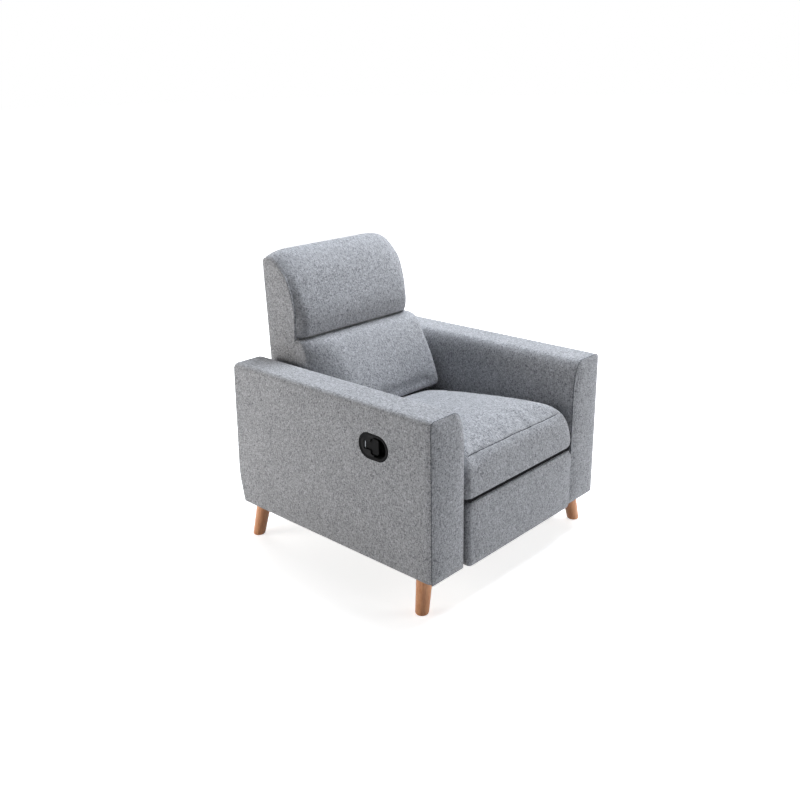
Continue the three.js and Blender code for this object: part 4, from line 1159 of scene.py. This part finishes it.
def build_lumbar():
    """The lumbar cushion: it swells forward below the crease and rests on the seat."""
    front = side_curve(LUMBAR, 80)
    under = np.array(LUMBAR_UNDER)
    rear = np.array([LUMBAR_REAR, CREASE - 0.6 * MM])
    middle = np.concatenate([
        between(rear, front[0], 4), front, between(front[-1], under[0], 8)[1:],
        between(under[0], under[1], 8), between(under[1], rear, 20),
    ])
    halves = []
    for fullness, reach, power in LUMBAR_ENDS:
        end = middle.copy()
        end[:, 0] = LUMBAR_REAR + (middle[:, 0] - LUMBAR_REAR) * fullness
        end[:, 0] -= 25 * MM * (middle[:, 0] < 0.13)
        end[:, 1] = rear[1] + (middle[:, 1] - rear[1]) * 0.985
        halves.append(half_loft(middle, end, BACK_HALF - 0.6 * MM, reach, power))
    lumbar = loft("lumbar_cover", *halves)

    def share(p):
        """Free in front, held at the ends, at the crease, on the seat and behind."""
        free = rise(BACK_HALF - np.abs(p[:, 0]), 0.03, 0.09) * (1 - rise(p[:, 1], 0.24, 0.27))
        return free * rise(p[:, 2], 0.42, 0.50) * (1 - rise(p[:, 2], 0.62, 0.665))

    stuff(lumbar, 5 * MM, 1, 6 * MM, 9 * MM, share)
    own_pad(lumbar, "back", 0.8, "lumbar_cushion")


def build_boxing():
    """The boxed sides: flat panels, sharp along the cushions and rounded along the rear."""
    crest = side_curve(CREST, 70)
    crest[:, 1] -= 2.5 * MM * rise(crest[:, 1], CREASE + 0.19, CREASE + 0.26)
    bottom, front, rear = 0.07, 0.127, -REAR_PROUD
    turn = np.linspace(0, 1, 12)[:-1, None]
    under_corner = np.array([rear, crest[0, 1] - 18 * MM])
    corner = np.array([rear + 1 * MM, crest[0, 1]])
    rounded = under_corner * (1 - turn) ** 2 + 2 * corner * turn * (1 - turn) + crest[0] * turn**2
    outline = np.concatenate([
        between(np.array([rear, bottom]), under_corner, 70), rounded, crest,
        between(crest[-1], np.array([front, bottom]), 40)[1:],
        between(np.array([front, bottom]), np.array([rear, bottom]), 12),
    ])
    ahead = headings(outline)
    inward = np.stack([ahead[:, 1], -ahead[:, 0]], -1)
    spine = outline.copy()
    spine[:, 0] = 0.062
    spine[:, 1] = np.clip(outline[:, 1], bottom + 0.05, 0.60)
    front_edge = 1.2 * MM + 2.3 * MM * rise(outline[:, 1], CREASE - 0.01, CREASE + 0.02)
    edge = np.where(outline[:, 0] > 0.1, front_edge, 5 * MM)
    for step in range(6):
        edge = (np.roll(edge, 1) + edge + np.roll(edge, -1)) / 3
    for side, sign in SIDES:
        rings = []
        for share in np.linspace(1, 0.1, 10):
            flat = outline + inward * 0.5 * MM
            rings.append(in_back(sign * (BACK_HALF - BOXING), *(flat + (spine - flat) * share).T))
        for out, across in quarter_steps(5):
            flat = outline + inward * 1.5 * MM * across
            rings.append(in_back(sign * (BACK_HALF - BOXING + 1.5 * MM * out), *flat.T))
        for across, out in quarter_steps(8):
            flat = outline + inward * edge[:, None] * across
            rings.append(in_back(sign * (BACK_HALF - edge * out), *flat.T))
        for share in np.linspace(0, 1, 14)[1:]:
            flat = outline + inward * edge[:, None]
            crown = 2.5 * MM * (1 - (1 - share) ** 2.5)
            rings.append(in_back(sign * (BACK_HALF + crown), *(flat + (spine - flat) * share).T))
        boxing = ring_mesh(f"back_boxing_{side}", np.array(rings), UPHOLSTERY)
        own_pad(boxing, "back", 0.95, f"back_side_{side}")


def flat_pad(name, low, high, thickness, place, radii, edge, crown):
    """A flat upholstered panel: rounded edges and a face crowned as 1 - (way to the edge)^2.5.

    place(across, out, up) turns the panel's own points into places, out is away from its flat side.
    """
    half = 0.5 * min(high[0] - low[0], high[1] - low[1]) - 0.1 * MM
    stations = [(inset, 0.0) for inset in np.linspace(half, 1.5 * MM, 9)]
    stations += [(1.0 * MM, 0.3 * MM), (0.3 * MM, 1.0 * MM), (0.0, 2.0 * MM)]
    stations += [(edge * across, thickness - edge * out) for across, out in quarter_steps(7)]
    for inset in np.linspace(edge, half, 12)[1:]:
        stations.append((inset, thickness + crown * (1 - ((half - inset) / (half - edge)) ** 2.5)))
    rings = []
    for inset, out in stations:
        corners = [max(radius - inset, 0.5 * MM) for radius in radii]
        start, end = (low[0] + inset, low[1] + inset), (high[0] - inset, high[1] - inset)
        rim = rectangle_ring(start, end, corners, (50, 50, 8))
        rings.append(place(rim[:, 0], out, rim[:, 1]))
    return ring_mesh(name, np.array(rings), UPHOLSTERY)


def build_rear_panels():
    """The back's outside panel, the fixed panel below it and the tabs beside the back's corners."""
    half = BACK_HALF - BOXING

    def behind(x, out, h):
        return in_back(x, 12 * MM - out, h)

    rear = flat_pad(
        "back_rear_cover", (-half, 0.0), (half, REAR_PANEL_HEIGHT), thickness=16 * MM, place=behind,
        radii=(6 * MM, 6 * MM, 10 * MM, 10 * MM), edge=5 * MM, crown=3 * MM,
    )
    own_pad(rear, "back", 0.95, "back_outer_panel")
    low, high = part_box("lower_back_panel")

    def standing(x, out, h):
        x, out, h = np.broadcast_arrays(x, out, h)
        return np.stack([x, low.y + out, h], -1)

    lower = flat_pad(
        "lower_rear_cover", (low.x, low.z), (high.x, high.z), thickness=high.y - low.y,
        place=standing, radii=(3 * MM,) * 4, edge=4 * MM, crown=2 * MM,
    )
    own_pad(lower, "base", 0.95, "lower_back_panel")

    def beside(x, out, h):
        return standing(x, out + 4 * MM, h)

    for side, sign in SIDES:
        edges = sorted((sign * (half + 2.5 * MM), sign * (high.x + 2 * MM)))
        tab = flat_pad(
            f"rear_corner_tab_{side}", (edges[0], high.z - 4 * MM), (edges[1], high.z + 60 * MM),
            thickness=10 * MM, place=beside, radii=(2 * MM, 2 * MM, 5 * MM, 5 * MM),
            edge=3 * MM, crown=1 * MM,
        )
        own_pad(tab, "base", 0.95)


# ---------------------------------------------------------------- footrest
FOOTREST_EDGE = 13 * MM
FOOTREST_CORNERS = (15 * MM, 15 * MM, 25 * MM, 18 * MM)
FOOTREST_CROWN = 2 * MM


def build_footrest():
    """The footrest pad: full rounded corners and edges, drawn in towards its board."""
    low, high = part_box("footrest_pad")
    thickness = high.y - low.y
    half = 0.5 * (high.z - low.z) - 0.1 * MM
    stations = [(inset, 0.0) for inset in np.linspace(half, 5 * MM, 10)]
    stations += [(4 * MM, 0.6 * MM), (2.4 * MM, 3 * MM), (1.2 * MM, 8 * MM)]
    stations += [(0.3 * MM, 18 * MM), (0.0, 28 * MM)]
    edge = FOOTREST_EDGE
    for across, out in quarter_steps(10):
        stations.append((edge * across, thickness - FOOTREST_CROWN - edge * out))
    for inset in np.linspace(edge, half, 12)[1:]:
        fall = ((half - inset) / (half - edge)) ** 2.5
        stations.append((inset, thickness - FOOTREST_CROWN * fall))
    rings = []
    for inset, out in stations:
        corners = [max(radius - 0.5 * inset, 1 * MM) for radius in FOOTREST_CORNERS]
        start = (low.x + 1.1 * inset, low.z + inset)
        end = (high.x - 1.1 * inset, high.z + 0.5 * MM - inset)
        rim = rectangle_ring(start, end, corners, (60, 26, 10))
        rings.append(np.stack([rim[:, 0], np.full(len(rim), high.y - out), rim[:, 1]], -1))
    pad = ring_mesh("footrest_cover", np.array(rings), UPHOLSTERY)

    def share(p):
        """Free in the middle of the face, held at all four edges and at the board."""
        across = rise(high.x - np.abs(p[:, 0]), 0.008, 0.04)
        upright = rise(high.z - p[:, 2], 0.005, 0.03) * rise(p[:, 2] - low.z, 0.005, 0.03)
        return across * upright * (1 - rise(p[:, 1], high.y - 0.045, high.y - 0.03))

    stuff(pad, 4 * MM, 2, 4 * MM, 6 * MM, share)
    own_pad(pad, "footrest", 0.85, "footrest_pad")


# ---------------------------------------------------------------- lining and painted shade strips
STRIP_STEPS = 60


def black_strip(name, half_width, path, body):
    """Black cloth, straight across the chair and bent along a path of (y, z) points: lining, and
    painted shade in a gap.
    """
    path = np.array(path)
    way = way_along(path)
    along = np.unique(np.concatenate([way, np.linspace(0, way[-1], 22)]))
    x, v = np.meshgrid(np.linspace(-half_width, half_width, STRIP_STEPS), along, indexing="ij")
    points = np.stack([x, np.interp(v, way, path[:, 0]), np.interp(v, way, path[:, 1])], -1)
    i, j = np.meshgrid(np.arange(STRIP_STEPS - 1), np.arange(len(along) - 1), indexing="ij")
    corner = i * len(along) + j
    faces = np.stack([corner, corner + len(along), corner + len(along) + 1, corner + 1], -1)
    cloth = finish_mesh(name, points.reshape(-1, 3), faces.reshape(-1, 4), LINING_AND_PAINTED_SHADE)
    own(cloth, body, "upholstery")


def build_lining_and_shade_strips():
    """A black strip of painted shade in the gap over the footrest, and lining cloth behind the gap
    under the back.
    """
    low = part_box("seat_cushion")[0]
    board_low, board_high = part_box("seat_front_board")
    turn_y = low.y + 8 * MM
    start = np.array([board_low.y + 20 * MM, board_high.z + 0.6 * MM])
    turn = np.array([turn_y, start[1] + SEAT_SLOPE * (board_low.y - turn_y)])
    path = [start, (board_low.y, start[1]), turn, turn - (0, 10.5 * MM)]
    half = board_high.x + 13 * MM
    # painted shade: a black strip hung just behind the seat cushion's front edge, so the gap over
    # the footrest renders black
    black_strip("seat_front_painted_shade", half, path, "seat_carriage")
    low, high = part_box("back_bottom_rail")
    under = low.z - 0.6 * MM
    hang_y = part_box("lower_back_panel")[0].y - 3.5 * MM
    path = [(low.y + 4 * MM, under), (hang_y, under), (hang_y, under - 26 * MM)]
    black_strip("back_hem_lining", high.x + 26 * MM, path, "back")


# ---------------------------------------------------------------- legs
LEG_FOOT = 20.5 * MM  # radius at the floor
LEG_TOP = 25 * MM
LEG_SPLAY = (25 * MM, 10 * MM)  # how far the foot stands out, across and along the chair


def build_legs():
    """Turned legs: a straight taper with a rounded foot, leaning outwards."""
    for end in ("front", "rear"):
        for side, sign in SIDES:
            low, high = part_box(f"leg_{end}_{side}")
            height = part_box(f"arm_{side}_front_pad")[0].z - 0.3 * MM
            foot_x = sign * (max(abs(low.x), abs(high.x)) - LEG_FOOT)
            lean_y = LEG_SPLAY[1] if end == "front" else -LEG_SPLAY[1]
            foot_y = low.y + LEG_FOOT if end == "front" else high.y - LEG_FOOT
            profile = [(0, 0), (LEG_FOOT - 6 * MM, 0), (LEG_FOOT - 3.2 * MM, 0.2 * MM)]
            profile += [(LEG_FOOT - 1.2 * MM, 1.2 * MM), (LEG_FOOT - 0.2 * MM, 3.2 * MM)]
            for share in np.linspace(0.06, 0.97, 22):
                profile.append((LEG_FOOT + (LEG_TOP - LEG_FOOT) * share, height * share))
            profile += [(LEG_TOP - 0.5 * MM, height * 0.995), (LEG_TOP - 3 * MM, height)]
            profile.append((0, height))
            turn = np.linspace(0, 2 * np.pi, 56, endpoint=False)
            rings = []
            for radius, z in profile:
                lean = z / height
                x = foot_x - sign * LEG_SPLAY[0] * lean + radius * np.cos(turn)
                y = foot_y + lean_y * lean + radius * np.sin(turn)
                rings.append(np.stack([x, y, np.full(len(turn), z)], -1))
            leg = ring_mesh(f"turned_leg_{end}_{side}", rings, LEG_WOOD)
            own(leg, "base", "leg_wood", f"leg_{end}_{side}")


# ---------------------------------------------------------------- CAD nodes that stay
def dress_frame():
    """The steel, timber, foam and plastic parts keep their CAD shape and get their material."""
    slots = {}
    for part in frame["record"]["subparts"]:
        slots[part["node"]] = part["material_slot"]
    for name, obj in nodes.items():
        obj.data.materials.clear()
        obj.data.materials.append(MATERIALS[slots[name]])


# ---------------------------------------------------------------- studio
LIGHTS = (  # name, place, aim, size, watts, colour
    ("overhead", (1.6, 0.2, 4.2), (0, 0, 0.3), (2.8, 2.8), 246, (0.895, 0.94, 1.0)),
    ("left_rear", (-2.7, 2.3, 0.9), (0, 0.1, 0.5), (1.6, 1.2), 61, (1.0, 0.97, 0.926)),
    ("right_front", (2.7, -2.9, 1.1), (0, 0, 0.4), (1.8, 1.6), 53, (1.0, 1.0, 1.0)),
    ("rear", (0.8, 3.6, 1.5), (0, 0, 0.5), (1.6, 1.4), 34, (1.0, 1.0, 1.0)),
)
FLOOR_REACH = 60.0
SURROUND = (0.03, 0.03, 0.032, 1)  # light from all round
WHITE = (1, 1, 1, 1)


def area_light(name, place, target, size, power, colour):
    """A soft rectangular light at a place, turned to a target."""
    data = bpy.data.lights.new(name, "AREA")
    data.shape = "RECTANGLE"
    data.size, data.size_y = size
    data.energy = power
    data.color = colour
    light = add_object(name, data)
    light.location = place
    light.rotation_euler = (Vector(target) - Vector(place)).to_track_quat("-Z", "Y").to_euler()


def seen_directly(work):
    """1 for camera, glossy and transmission rays: shiny faces show the white surround too."""
    path = work.add("ShaderNodeLightPath")
    glossy, passed = path.outputs["Is Glossy Ray"], path.outputs["Is Transmission Ray"]
    mirrored = work.maths("MAXIMUM", glossy, passed)
    return work.maths("MAXIMUM", path.outputs["Is Camera Ray"], mirrored)


def make_studio():
    """A pale floor, a white surround and large soft lights."""
    floor_material, work, shader, place = material("floor")
    mottle = work.noise(place["Object"], 3.0, 2.0, 0.5)
    colour = work.mix(mottle, (0.86, 0.86, 0.86, 1), (0.88, 0.88, 0.88, 1))
    work.surface(shader, colour, 0.9, Specular_IOR_Level=0.0, Emission_Color=WHITE)
    apart = work.add("ShaderNodeVectorMath", operation="LENGTH")
    work.link(place["Object"], apart.inputs[0])
    far = work.spread(apart.outputs["Value"], 0.7, 2.2)
    glow = work.maths("MULTIPLY", seen_directly(work), work.spread(far, 0.0, 1.0, 0.75, 1.0))
    work.link(glow, shader.inputs["Emission Strength"])
    mesh = bpy.data.meshes.new("floor")
    signs = ((-1, -1), (1, -1), (1, 1), (-1, 1))
    corners = [(x * FLOOR_REACH, y * FLOOR_REACH, 0) for x, y in signs]
    mesh.from_pydata(corners, [], [(0, 1, 2, 3)])
    mesh.materials.append(floor_material)
    add_object("floor", mesh)
    world = bpy.data.worlds.new("studio")
    bpy.context.scene.world = world
    world.use_nodes = True
    world.node_tree.nodes.clear()
    work = Nodes(world.node_tree)
    sky = work.add("ShaderNodeBackground")
    work.link(work.mix(seen_directly(work), SURROUND, WHITE), sky.inputs["Color"])
    sky.inputs["Strength"].default_value = 1.0
    out = work.add("ShaderNodeOutputWorld")
    work.link(sky.outputs[0], out.inputs["Surface"])
    for light in LIGHTS:
        area_light(*light)
    bpy.context.scene.view_settings.view_transform = "Standard"


make_camera()
build_arms()
build_handle()
build_seat()
build_head()
build_lumbar()
build_boxing()
build_rear_panels()
build_footrest()
build_lining_and_shade_strips()
build_legs()
dress_frame()
make_studio()
